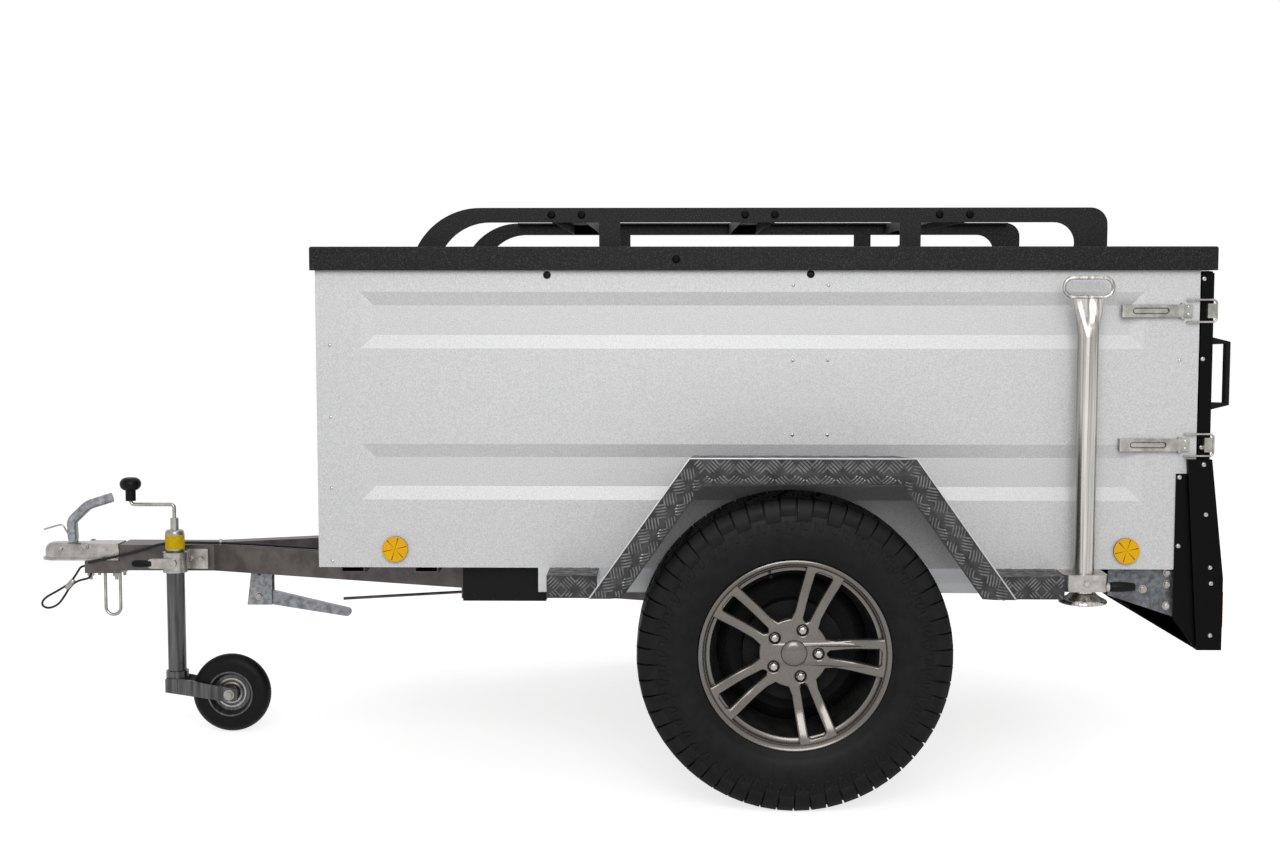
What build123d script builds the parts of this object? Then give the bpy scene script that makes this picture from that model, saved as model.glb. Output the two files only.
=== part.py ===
from build123d import *
import os
from math import atan, radians, sqrt, tan

# Off-road rooftop tent trailer: V drawbar, torsion axle, closed box, lid with a roof rack.
# Frame: +X to the rear, +Y to the right, +Z up, millimetres, origin on the ground at the middle.
os.makedirs("parts", exist_ok=True)

SIDES = (("left", -1), ("right", 1))

# Clearances
SEAT_GAP = 0.3
MOVE_GAP = 6

# Reach from the axle
NOSE_REACH = 2002
TAILGATE_REACH = 998
HANDLE_DEPTH = 60
AXLE_X = (NOSE_REACH - TAILGATE_REACH - HANDLE_DEPTH) / 2

# Wheels
TYRE_R = 360
TYRE_WIDTH = 228
TREAD_WIDTH = 196
SHOULDER_DROP = 28
SHOULDER_CUT = 6
NOTCH_COUNT = 32
NOTCH_WIDTH = 15
NOTCH_LENGTH = 46
NOTCH_DROP = 15
NOTCH_RISE = 3
WHEEL_OUT = 151
BEAD_R = 206
BEAD_WIDTH = 176
RIM_FLANGE_R = 219
RIM_FLANGE = 9
BEAD_LIFT = 4
RIM_WALL = 6
RIM_WELL_R = 182
SPOKE_PAIRS = 5
SPOKE_TURN = -2
SPOKE_ROOT_SPACING = 34
SPOKE_TIP_SPACING = 60
SPOKE_WIDTH = 19
SPOKE_DEPTH = 24
SPOKE_FACE = 62
HUB_DISC_R = 80
CAP_R = 31
CAP_HEIGHT = 6
CAP_ROUND = 4
HUB_R = 66
HUB_LENGTH = 62
DRUM_R = 116
DRUM_DEPTH = 48
DRUM_WALL = 8
SHIELD_R = 150
SHIELD_THICK = 3
STUB_R = 22

# Axle
BEAM_SIZE = 80
BEAM_AHEAD = 150
ARM_THICK = 26
ARM_TIP_R = 42
TYRE_ARM_GAP = 8

# Box
BOX_FRONT = 1128
BOX_HALF = 575
BOX_FLOOR = 521
WALL = 15
FLOOR_THICK = 15
SWAGE_FRONT_INSET = 107
SWAGE_REAR_INSET = 129
SWAGE_SLOPE = 32
SWAGE_DEPTH = 9
SWAGE_HEIGHT = 134
SWAGE_BOTTOMS = (685, 1047)
FRONT_SWAGE_INSET = 115
HEADER_HEIGHT = 40
HEADER_DEPTH = 30

# Lid
LID_TOP = 1288
LID_SKIN = 3
LID_SKIRT = 56
LID_SIDE_GAP = 12
LID_FRONT_GAP = 7
LID_REAR_LAP = 2
LID_EDGE_R = 5
LID_HINGE_INSET = 175
HINGE_PIN_R = 4
HINGE_EYE_R = 8
HINGE_EYE_LENGTH = 40
HINGE_LEAF_LENGTH = 25
HINGE_LEAF_THICK = 4
LID_HINGE_OUT = 18
LID_HINGE_DROP = 10

# Roof rack
RACK_INSET = 58
RACK_PLATE = 4
RACK_HEIGHT = 93
RACK_BAND = 35
RACK_FLANGE = 36
RACK_FRONT = 890
RACK_FRONT_TOP = 738
RACK_REAR = 754
RACK_REAR_R = 40
RACK_FOOT_FRONT = 67
RACK_FOOT_REAR = 79
RACK_FRONT_INNER = 108
RACK_REAR_INNER = 48
RACK_FEET = (-429, 287)
RACK_FOOT = 50
RACK_SHOE = 34
CROSSBARS = (-532, -70, 392)
CROSSBAR_WIDTH = 82
CROSSBAR_HEIGHT = 28
CROSSBAR_WALL = 3

# Tailgate
TAILGATE_THICK = 29
TAILGATE_SIDE_GAP = 5
TAILGATE_WALL_GAP = 5
TAILGATE_RISE = 8
TAILGATE_FRAME = 24
TAILGATE_SKIN = 4
TAILGATE_HINGE_INSET = 195
TAILGATE_HINGE_OUT = 8
TAILGATE_HINGE_RISE = 10
TAILGATE_LEAF = 78
TAILGATE_EYE_R = 7
HANDLE_INSET = 75
HANDLE_BOTTOM = 895
HANDLE_HEIGHT = 182
HANDLE_WIDTH = 26
HANDLE_SPLAY = 15
HANDLE_GRIP = 10
HANDLE_FOOT = 22
HANDLE_LEG = 5

# Toggle latches
LATCH_Z = (820, 1137)
LATCH_HEIGHT = 30
LATCH_INSET = 18
LATCH_BASE_LENGTH = 56
LATCH_BASE_THICK = 7
LATCH_REACH = 187
LATCH_LEVER = 147
LATCH_THICK = 6
LATCH_ROLL_R = 6
LATCH_WINDOW = 84
LATCH_WINDOW_HEIGHT = 13
LATCH_WINDOW_AHEAD = 28
LATCH_WINDOW_DEPTH = 3
BAIL_R = 2.5
BAIL_HALF = 26
BAIL_INSET = 34
KEEPER_LENGTH = 18
KEEPER_HEIGHT = 34
KEEPER_OUT = 16

# Rear corner plates, bumper and skid
CHEEK_GAP = 3
CHEEK_THICK = 12
CHEEK_INSET = 24
CHEEK_TOP = 786
CHEEK_FLANGE_INSET = 47
CHEEK_FLANGE_LOW = 403
CHEEK_FLANGE_TOP = 751
BUMPER_AHEAD = 26
BUMPER_BEHIND = 33
BUMPER_TOP = 502
BUMPER_BOTTOM = 329
BUMPER_WALL = 3
SKID_THICK = 4
LAMP_INSET = 135
LAMP_LENGTH = 190
LAMP_HEIGHT = 100
LAMP_DEPTH = 18
LAMP_R = 12
TRIANGLE_INSET = 290
TRIANGLE_SIDE = 90
TRIANGLE_THICK = 7
GUSSET_LENGTH = 157
GUSSET_INSET_X = 39
GUSSET_FRONT_Z = 455
GUSSET_REAR_Z = 403
GUSSET_THICK = 5
GUSSET_INSET = 25

# Chassis
SILL_FRONT = 600
SILL_REAR = 660
SILL_HEIGHT = 59
SILL_WIDTH = 40
SILL_WALL = 4
DRAWBAR_HEIGHT = 70
DRAWBAR_WIDTH = 50
DRAWBAR_WALL = 4
COUPLING_LENGTH = 224
DRAWBAR_STRAIGHT = 258
DRAWBAR_REAR = 215
DRAWBAR_SLOPE = 0.367
CROSS_HEIGHT = 26
CROSS_WIDTH = 60
CROSS_INSET = 75
CROSS_WALL = 4
CROSS_X = (-880, -545, 560)
CROSS_FRONT_INSET = 68
CROSS_REAR_INSET = 59

# Fenders and running boards
FENDER_CENTRE = 12
FENDER_CLEAR = 93
FENDER_TOP_INSET = 108
FENDER_SPREAD = 117
FENDER_FOOT = 497
FENDER_WIDTH = 285
FENDER_FLARE = 22
FENDER_THICK = 3
FENDER_LIP = 37
FENDER_TURN = 20
FENDER_TURN_BACK = 10.5
BOARD_WIDTH = 115
BOARD_LIP = 53
BOARD_THICK = 4
BOARD_FRONT = 572
BOARD_REAR = 634

# Side reflectors and chock boxes
REFLECTOR_FRONT_INSET = 185
REFLECTOR_REAR_INSET = 161
REFLECTOR_Z = 566.5
REFLECTOR_R = 30.5
REFLECTOR_THICK = 9
CHOCK_FRONT = 788
CHOCK_REAR = 585
CHOCK_BOTTOM = 430
CHOCK_INSET = 55
CHOCK_WIDTH = 95
CHOCK_WALL = 4

# Coupling
NOSE_BLOCK_LENGTH = 96
NOSE_BLOCK_BOTTOM = 417
NOSE_BLOCK_TOP = 450
COUPLING_FLANGE = 6
COUPLING_HEIGHT = 40
COUPLING_ROUND = 22
COUPLING_TAIL = 96
COUPLING_TAIL_HALF = 34
COUPLING_TAIL_ROUND = 4
COUPLING_TAIL_GAP = 6
BALL_R = 25
CUP_CENTRE = 42
HANDLE_PIVOT = 82
GRIP_WIDTH = 30
GRIP_HEIGHT = 26
GRIP_ROUTE = ((0, 9), (-2, 58), (44, 102), (108, 122))
GRIP_BENDS = (24, 60)
GRIP_LUG = 9
EYE_BACK = 163
EYE_LENGTH = 50
EYE_BOTTOM = 290
EYE_R = 4.5
EYE_BEND = 20

# Jockey wheel
JOCKEY_BACK = 393
JOCKEY_Y = 110
JOCKEY_TUBE_R = 24
JOCKEY_TUBE_WALL = 2.5
JOCKEY_TUBE_BOTTOM = 165
JOCKEY_HEAD_Z = 492
JOCKEY_BAND_HEIGHT = 42
JOCKEY_CAP_HEIGHT = 12
JOCKEY_CAP_ROUND = 9
JOCKEY_BAND_R = 25
JOCKEY_SOCKET_R = 11
JOCKEY_SOCKET_HEIGHT = 31
CRANK_R = 5
CRANK_RISE = 36
CRANK_REACH = 116
CRANK_BEND = 9
KNOB_R = 28
KNOB_NECK_R = 13.5
KNOB_HEIGHT = 62
KNOB_NECK = 28
KNOB_WIDEST = 45
CASTER_R = 105
CASTER_WIDTH = 50
CASTER_RIM_R = 61
CASTER_WEB_HALF = 6
CASTER_BOSS = 8
CASTER_BOSS_FLARE = 14
CASTER_LIP = 4
CASTER_DISH = 12
CASTER_TRAIL = 147
CASTER_AXLE_R = 8
FORK_PLATE = 5
FORK_SIDE_GAP = 6
FORK_TOP = 141
FORK_BRIDGE = 12
FORK_COLLAR_R = 30
FORK_BROW = 36
FORK_TAIL = 22
FORK_TAIL_HALF = 14
FORK_HEEL = 10
FORK_HEEL_DROP = 18
CLAMP_BOTTOM = 432
CLAMP_HEIGHT = 54
CLAMP_WALL = 9
CLAMP_BACK = 75
CLAMP_PLATE = 12
CLAMP_LEVER = 78
CLAMP_LEVER_HEIGHT = 26
CLAMP_LEVER_THICK = 8
CLAMP_LEVER_AHEAD = 26
CLAMP_GRIP = 44
CLAMP_GRIP_R = 8

# Front steady leg
STEADY_BACK = 582
STEADY_Y = 60
STEADY_WIDTH = 38
STEADY_DROP = 110
STEADY_PLATE = 4
STEADY_PLATE_HALF = 34
STEADY_PLATE_TAPER = 14
STEADY_HOLE_R = 5
STEADY_HOLE_DROP = 24
STEADY_LENGTH = 240
STEADY_PIN_R = 6
STEADY_ROOT_R = 20
STEADY_TIP_R = 11
STEADY_THICK = 20
STEADY_PIVOT_RISE = 25
STEADY_SLOPE = 47
ROD_R = 4
ROD_BEHIND = 230
ROD_LENGTH = 370
ROD_FRONT_Z = 330
ROD_REAR_Z = 352
ROD_HANGER_AHEAD = 40
ROD_HANGER_THICK = 4
ROD_HANGER_HALF = 15
ROD_HANGER_DROP = 18

# Rear prop stands
PROP_X = 690
PROP_OUT = 55
PROP_R = 25
PROP_WALL = 3
PROP_BOTTOM = 460
PROP_TOP = 1085
PROP_FLAT_TOP = 1166
PROP_FLAT_WIDTH = 70
PROP_FLAT_THICK = 16
PROP_LOOP_LENGTH = 123
PROP_LOOP_HEIGHT = 54
PROP_LOOP_R = 4.5
PROP_LOOP_SINK = 1
FOOT_R = 56.5
FOOT_BOTTOM = 450
FOOT_HEIGHT = 25
FOOT_DISH = 4
FOOT_SOLE = 12
FOOT_EDGE = 3
FOOT_ROUND = 6
FOOT_BROW = 10
FOOT_NECK = 4
PROP_CLAMP_HEIGHT = 40
PROP_CLAMP_HALF = 52
PROP_CLAMP_WALL = 10
PROP_CLAMP_ROUND = 16
PROP_LEVER = 60
PROP_GRIP_R = 10

# Cables
LEAD_R = 3.5
LEAD_UNDER_BOX = 23
LEAD_NOSE = 140
SAFETY_R = 3
BEND_SHARE = 0.45

# Places worked out from the sizes
lid_under = LID_TOP - LID_SKIN
wall_top = lid_under - SEAT_GAP
skirt_bottom = LID_TOP - LID_SKIRT
lid_half = BOX_HALF + LID_SIDE_GAP + LID_SKIN
nose_x = AXLE_X - NOSE_REACH
tailgate_x = AXLE_X + TAILGATE_REACH
front_wall_x = AXLE_X - BOX_FRONT
wall_rear_x = tailgate_x - TAILGATE_THICK - TAILGATE_WALL_GAP
lid_front_x = front_wall_x - LID_FRONT_GAP - LID_SKIN
lid_rear_x = tailgate_x + LID_REAR_LAP
sill_bottom = BOX_FLOOR - SILL_HEIGHT
cross_bottom = BOX_FLOOR - CROSS_HEIGHT
drawbar_top = cross_bottom
drawbar_bottom = drawbar_top - DRAWBAR_HEIGHT
cheek_in = BOX_HALF + CHEEK_GAP
wheel_out = BOX_HALF + WHEEL_OUT
fender_out = BOX_HALF + FENDER_WIDTH
board_out = BOX_HALF + BOARD_WIDTH
prop_out = BOX_HALF + PROP_OUT
gusset_in = BOX_HALF - GUSSET_INSET
cross_half = BOX_HALF - CROSS_INSET
chock_out = BOX_HALF - CHOCK_INSET
rack_out = lid_half - RACK_INSET
lid_hinge_out = BOX_HALF - LID_HINGE_INSET
gate_hinge_out = BOX_HALF - TAILGATE_HINGE_INSET
handle_out = BOX_HALF - HANDLE_INSET
lamp_out = BOX_HALF - LAMP_INSET
triangle_out = BOX_HALF - TRIANGLE_INSET
front_swage_half = BOX_HALF - FRONT_SWAGE_INSET
shoulder_r = TYRE_R - SHOULDER_DROP
fender_top = 2 * TYRE_R + FENDER_CLEAR
fender_top_half = TYRE_R - FENDER_TOP_INSET
fender_foot_half = TYRE_R + FENDER_SPREAD


def save(piece, node):
    """Label a finished piece and write it to its own file."""
    piece.part.label = node
    export_step(piece.part, f"parts/{node}.step")


def block(x0, x1, y0, y1, z0, z1, mode=Mode.ADD):
    """A block between two corners, in the part that is being made."""
    with Locations(((x0 + x1) / 2, (y0 + y1) / 2, (z0 + z1) / 2)):
        Box(abs(x1 - x0), abs(y1 - y0), abs(z1 - z0), mode=mode)


def side_plane(y):
    """A drawing plane along the trailer at y: its x runs to the rear and its y up."""
    return Plane.XZ.offset(-y)


def cross_cylinder(x, z, y0, y1, radius, mode=Mode.ADD):
    """A cylinder across the trailer from y0 to y1."""
    with Locations(Location((x, (y0 + y1) / 2, z), (90, 0, 0))):
        Cylinder(radius, abs(y1 - y0), mode=mode)


def long_cylinder(x0, x1, y, z, radius, mode=Mode.ADD):
    """A cylinder along the trailer from x0 to x1."""
    with Locations(Location(((x0 + x1) / 2, y, z), (0, 90, 0))):
        Cylinder(radius, abs(x1 - x0), mode=mode)


def up_cylinder(x, y, z0, z1, radius, mode=Mode.ADD):
    """An upright cylinder from z0 to z1."""
    with Locations((x, y, (z0 + z1) / 2)):
        Cylinder(radius, z1 - z0, mode=mode)


def bend_radii(points):
    """The largest arc at each corner of a cable's route that its two runs leave room for."""
    radii = []
    for before, here, after in zip(points, points[1:], points[2:]):
        run_in = Vector(here) - Vector(before)
        run_out = Vector(after) - Vector(here)
        half_turn = radians(run_in.get_angle(run_out)) / 2
        radii.append(BEND_SHARE * min(run_in.length, run_out.length) / tan(half_turn))
    return radii


def cable(points, radius, node):
    """A round cable along straight runs and tangent arcs."""
    radii = bend_radii(points)
    with BuildPart() as tube:
        with BuildLine() as route:
            FilletPolyline(*points, radius=radii)
        path = route.wire()
        with BuildSketch(Plane(path.position_at(0), z_dir=path.tangent_at(0))):
            Circle(radius)
        sweep(path=path)
    save(tube, node)
    print(node, "length", round(path.length), "radii", [round(r) for r in radii])


def bent_rod(points, radius, bend, node_plane):
    """A bent round rod, drawn in a plane, added to the part that is being made."""
    with BuildLine(node_plane, mode=Mode.PRIVATE) as route:
        FilletPolyline(*points, radius=bend)
    path = route.wire()
    start = Plane(path.position_at(0), z_dir=path.tangent_at(0))
    with BuildSketch(start, mode=Mode.PRIVATE) as section:
        Circle(radius)
    sweep(section.sketch, path=path)


# Tyres, rims and hubs
wheel_axis = Axis((AXLE_X, 0, TYRE_R), (0, 1, 0))
wheel_plane = Plane((AXLE_X, 0, TYRE_R), x_dir=(0, 1, 0), z_dir=(1, 0, 0))
tyre_half = TYRE_WIDTH / 2
tread_half = TREAD_WIDTH / 2
bead_half = BEAD_WIDTH / 2
flange_in = bead_half + SEAT_GAP
flange_out = flange_in + RIM_FLANGE
bulge_r = (shoulder_r + RIM_FLANGE_R) / 2
sidewall_r = RIM_FLANGE_R + BEAD_LIFT
shoulder_half = tyre_half - SHOULDER_CUT
for side, sign in SIDES:
    wheel_y = sign * wheel_out
    with BuildPart() as tyre:
        with BuildSketch(wheel_plane):
            with BuildLine():
                Line((wheel_y - bead_half, BEAD_R), (wheel_y + bead_half, BEAD_R))
                Line((wheel_y + bead_half, BEAD_R), (wheel_y + bead_half, sidewall_r))
                Line((wheel_y + bead_half, sidewall_r), (wheel_y + flange_out, sidewall_r))
                ThreePointArc(
                    (wheel_y + flange_out, sidewall_r),
                    (wheel_y + tyre_half, bulge_r),
                    (wheel_y + shoulder_half, shoulder_r),
                )
                Line((wheel_y + shoulder_half, shoulder_r), (wheel_y + tread_half, TYRE_R))
                Line((wheel_y + tread_half, TYRE_R), (wheel_y - tread_half, TYRE_R))
                Line((wheel_y - tread_half, TYRE_R), (wheel_y - shoulder_half, shoulder_r))
                ThreePointArc(
                    (wheel_y - shoulder_half, shoulder_r),
                    (wheel_y - tyre_half, bulge_r),
                    (wheel_y - flange_out, sidewall_r),
                )
                Line((wheel_y - flange_out, sidewall_r), (wheel_y - bead_half, sidewall_r))
                Line((wheel_y - bead_half, sidewall_r), (wheel_y - bead_half, BEAD_R))
            make_face()
        revolve(axis=wheel_axis)
        for shoulder in (-1, 1):
            with BuildSketch(side_plane(wheel_y + shoulder * (tyre_half - NOTCH_LENGTH))):
                with Locations((AXLE_X, TYRE_R)):
                    with PolarLocations(TYRE_R, NOTCH_COUNT):
                        Polygon(
                            (-NOTCH_DROP, 0),
                            (NOTCH_RISE, NOTCH_WIDTH / 2),
                            (NOTCH_RISE, -NOTCH_WIDTH / 2),
                            align=None,
                        )
            extrude(amount=-shoulder * 2 * NOTCH_LENGTH, mode=Mode.SUBTRACT)
    save(tyre, f"tyre_{side}")

    face_y = wheel_y + sign * SPOKE_FACE
    seat_r = BEAD_R - SEAT_GAP
    with BuildPart() as rim:
        with BuildSketch(wheel_plane):
            with BuildLine():
                Polyline(
                    (wheel_y - flange_out, RIM_FLANGE_R),
                    (wheel_y - flange_in, RIM_FLANGE_R),
                    (wheel_y - flange_in, seat_r),
                    (wheel_y - bead_half / 2, seat_r),
                    (wheel_y - bead_half / 4, RIM_WELL_R),
                    (wheel_y + bead_half / 4, RIM_WELL_R),
                    (wheel_y + bead_half / 2, seat_r),
                    (wheel_y + flange_in, seat_r),
                    (wheel_y + flange_in, RIM_FLANGE_R),
                    (wheel_y + flange_out, RIM_FLANGE_R),
                    (wheel_y + flange_out, seat_r - RIM_WALL),
                    (wheel_y + bead_half / 2 + RIM_WALL, seat_r - RIM_WALL),
                    (wheel_y + bead_half / 4 + RIM_WALL, RIM_WELL_R - RIM_WALL),
                    (wheel_y - bead_half / 4 - RIM_WALL, RIM_WELL_R - RIM_WALL),
                    (wheel_y - bead_half / 2 - RIM_WALL, seat_r - RIM_WALL),
                    (wheel_y - flange_out, seat_r - RIM_WALL),
                    close=True,
                )
            make_face()
        revolve(axis=wheel_axis)
        cap_y = face_y + sign * CAP_HEIGHT
        cross_cylinder(AXLE_X, TYRE_R, face_y, cap_y, CAP_R)
        fillet(rim.edges().group_by(Axis.Y)[-1 if sign > 0 else 0], CAP_ROUND)
        cross_cylinder(AXLE_X, TYRE_R, face_y, face_y - sign * SPOKE_DEPTH, HUB_DISC_R)
        spoke_root = HUB_DISC_R / 2
        spoke_tip = sqrt((seat_r - RIM_WALL / 2) ** 2 - ((SPOKE_TIP_SPACING + SPOKE_WIDTH) / 2) ** 2)
        root_in = (SPOKE_ROOT_SPACING - SPOKE_WIDTH) / 2
        tip_in = (SPOKE_TIP_SPACING - SPOKE_WIDTH) / 2
        with BuildSketch(side_plane(face_y)):
            with Locations((AXLE_X, TYRE_R)):
                with PolarLocations(0, SPOKE_PAIRS, start_angle=SPOKE_TURN):
                    for lane in (-1, 1):
                        Polygon(
                            (spoke_root, lane * root_in),
                            (spoke_tip, lane * tip_in),
                            (spoke_tip, lane * (tip_in + SPOKE_WIDTH)),
                            (spoke_root, lane * (root_in + SPOKE_WIDTH)),
                            align=None,
                        )
        extrude(amount=sign * SPOKE_DEPTH)
    save(rim, f"rim_{side}")

    hub_out = face_y - sign * SPOKE_DEPTH
    hub_in = hub_out - sign * HUB_LENGTH
    with BuildPart() as hub:
        drum_out = hub_in + sign * DRUM_DEPTH
        cross_cylinder(AXLE_X, TYRE_R, drum_out, hub_in, DRUM_R)
        drum_face = drum_out - sign * DRUM_WALL
        cross_cylinder(AXLE_X, TYRE_R, drum_face, hub_in, DRUM_R - DRUM_WALL, mode=Mode.SUBTRACT)
        cross_cylinder(AXLE_X, TYRE_R, hub_out, hub_in, HUB_R)
        cross_cylinder(AXLE_X, TYRE_R, hub_out, hub_in, STUB_R + SEAT_GAP, mode=Mode.SUBTRACT)
    save(hub, f"hub_{side}")

# Axle beam and swing arms
beam_x = AXLE_X - BEAM_AHEAD
beam_z = sill_bottom - BEAM_SIZE / 2
arm_out = wheel_out - tyre_half - TYRE_ARM_GAP
arm_in = arm_out - ARM_THICK
stub_end = wheel_out + SPOKE_FACE - SPOKE_DEPTH - MOVE_GAP
with BuildPart() as axle_beam:
    with BuildSketch(side_plane(-arm_in)):
        with Locations((beam_x, beam_z)):
            Rectangle(BEAM_SIZE, BEAM_SIZE)
    extrude(amount=-2 * arm_in)
    chamfer(axle_beam.edges().filter_by(Axis.Y), BEAM_SIZE / 5)
save(axle_beam, "axle_beam")

with BuildPart() as swing_arms:
    for side, sign in SIDES:
        with BuildSketch(side_plane(sign * arm_in)):
            with Locations((beam_x, beam_z), (AXLE_X, TYRE_R)):
                Circle(ARM_TIP_R)
            make_hull()
        extrude(amount=-sign * ARM_THICK)
        cross_cylinder(AXLE_X, TYRE_R, sign * arm_out, sign * stub_end, STUB_R)
        shield_out = stub_end + MOVE_GAP - HUB_LENGTH - MOVE_GAP
        cross_cylinder(AXLE_X, TYRE_R, sign * (shield_out - SHIELD_THICK), sign * shield_out, SHIELD_R)
save(swing_arms, "swing_arms")

# Box floor and walls
front_in_x = front_wall_x + WALL
wall_in = BOX_HALF - WALL
with BuildPart() as floor_panel:
    block(front_in_x, wall_rear_x, -wall_in, wall_in, BOX_FLOOR, BOX_FLOOR + FLOOR_THICK)
save(floor_panel, "floor_panel")


def swage(x0, x1, z0, y, sign):
    """A shallow pressed recess with sloping edges, cut into the outer face of a wall at y."""
    with BuildSketch(side_plane(y), mode=Mode.PRIVATE) as mouth:
        with Locations(((x0 + x1) / 2, z0 + SWAGE_HEIGHT / 2)):
            Rectangle(x1 - x0, SWAGE_HEIGHT)
    with BuildSketch(side_plane(y - sign * SWAGE_DEPTH), mode=Mode.PRIVATE) as bed:
        with Locations(((x0 + x1) / 2, z0 + SWAGE_HEIGHT / 2)):
            Rectangle(x1 - x0 - 2 * SWAGE_SLOPE, SWAGE_HEIGHT - 2 * SWAGE_SLOPE)
    loft([mouth.sketch, bed.sketch], mode=Mode.SUBTRACT)


swage_front_x = front_wall_x + SWAGE_FRONT_INSET
swage_rear_x = wall_rear_x - SWAGE_REAR_INSET
for side, sign in SIDES:
    with BuildPart() as box_side:
        block(front_wall_x, wall_rear_x, sign * wall_in, sign * BOX_HALF, BOX_FLOOR, wall_top)
        for swage_bottom in SWAGE_BOTTOMS:
            swage(swage_front_x, swage_rear_x, swage_bottom, sign * BOX_HALF, sign)
    save(box_side, f"box_side_{side}")

with BuildPart() as box_front:
    block(front_wall_x, front_in_x, -wall_in, wall_in, BOX_FLOOR, wall_top)
    front_plane = Plane((front_wall_x, 0, 0), x_dir=(0, 1, 0), z_dir=(1, 0, 0))
    for swage_bottom in SWAGE_BOTTOMS:
        with BuildSketch(front_plane):
            with Locations((0, swage_bottom + SWAGE_HEIGHT / 2)):
                Rectangle(2 * front_swage_half, SWAGE_HEIGHT)
        with BuildSketch(front_plane.offset(SWAGE_DEPTH)):
            with Locations((0, swage_bottom + SWAGE_HEIGHT / 2)):
                Rectangle(2 * (front_swage_half - SWAGE_SLOPE), SWAGE_HEIGHT - 2 * SWAGE_SLOPE)
        loft(mode=Mode.SUBTRACT)
save(box_front, "box_front")

with BuildPart() as rear_header:
    block(wall_rear_x - HEADER_DEPTH, wall_rear_x, -wall_in, wall_in, wall_top - HEADER_HEIGHT, wall_top)
save(rear_header, "rear_header")

# Lid with its hinges
with BuildPart() as lid_shell:
    block(lid_front_x, lid_rear_x, -lid_half, lid_half, skirt_bottom, LID_TOP)
    fillet(lid_shell.edges().group_by(Axis.Z)[-1], LID_EDGE_R)
    block(
        lid_front_x + LID_SKIN,
        lid_rear_x - LID_SKIN,
        -lid_half + LID_SKIN,
        lid_half - LID_SKIN,
        skirt_bottom,
        lid_under,
        mode=Mode.SUBTRACT,
    )
save(lid_shell, "lid_shell")

lid_hinge_x = front_wall_x - LID_HINGE_OUT
lid_hinge_z = skirt_bottom - LID_HINGE_DROP
eye_half = HINGE_EYE_LENGTH / 2
leaf_half = eye_half + SEAT_GAP + HINGE_LEAF_LENGTH
with BuildPart() as lid_hinge_bases:
    for side, sign in SIDES:
        hinge_y = sign * lid_hinge_out
        cross_cylinder(lid_hinge_x, lid_hinge_z, hinge_y - eye_half, hinge_y + eye_half, HINGE_EYE_R)
        cross_cylinder(lid_hinge_x, lid_hinge_z, hinge_y - leaf_half, hinge_y + leaf_half, HINGE_PIN_R)
        block(
            lid_hinge_x,
            front_wall_x,
            hinge_y - eye_half,
            hinge_y + eye_half,
            lid_hinge_z - 2 * HINGE_EYE_R,
            lid_hinge_z,
        )
        block(
            front_wall_x - HINGE_LEAF_THICK,
            front_wall_x,
            hinge_y - leaf_half,
            hinge_y + leaf_half,
            lid_hinge_z - 8 * HINGE_EYE_R,
            lid_hinge_z - 2 * HINGE_EYE_R,
        )
save(lid_hinge_bases, "lid_hinge_bases")

with BuildPart() as lid_hinge_leaves:
    for side, sign in SIDES:
        for end in (-1, 1):
            near = sign * lid_hinge_out + end * (eye_half + SEAT_GAP)
            far = sign * lid_hinge_out + end * leaf_half
            cross_cylinder(lid_hinge_x, lid_hinge_z, near, far, HINGE_EYE_R)
            block(lid_hinge_x, lid_front_x, near, far, lid_hinge_z, skirt_bottom + LID_SKIRT - LID_EDGE_R)
            cross_cylinder(lid_hinge_x, lid_hinge_z, near, far, HINGE_PIN_R + SEAT_GAP, mode=Mode.SUBTRACT)
save(lid_hinge_leaves, "lid_hinge_leaves")

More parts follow.
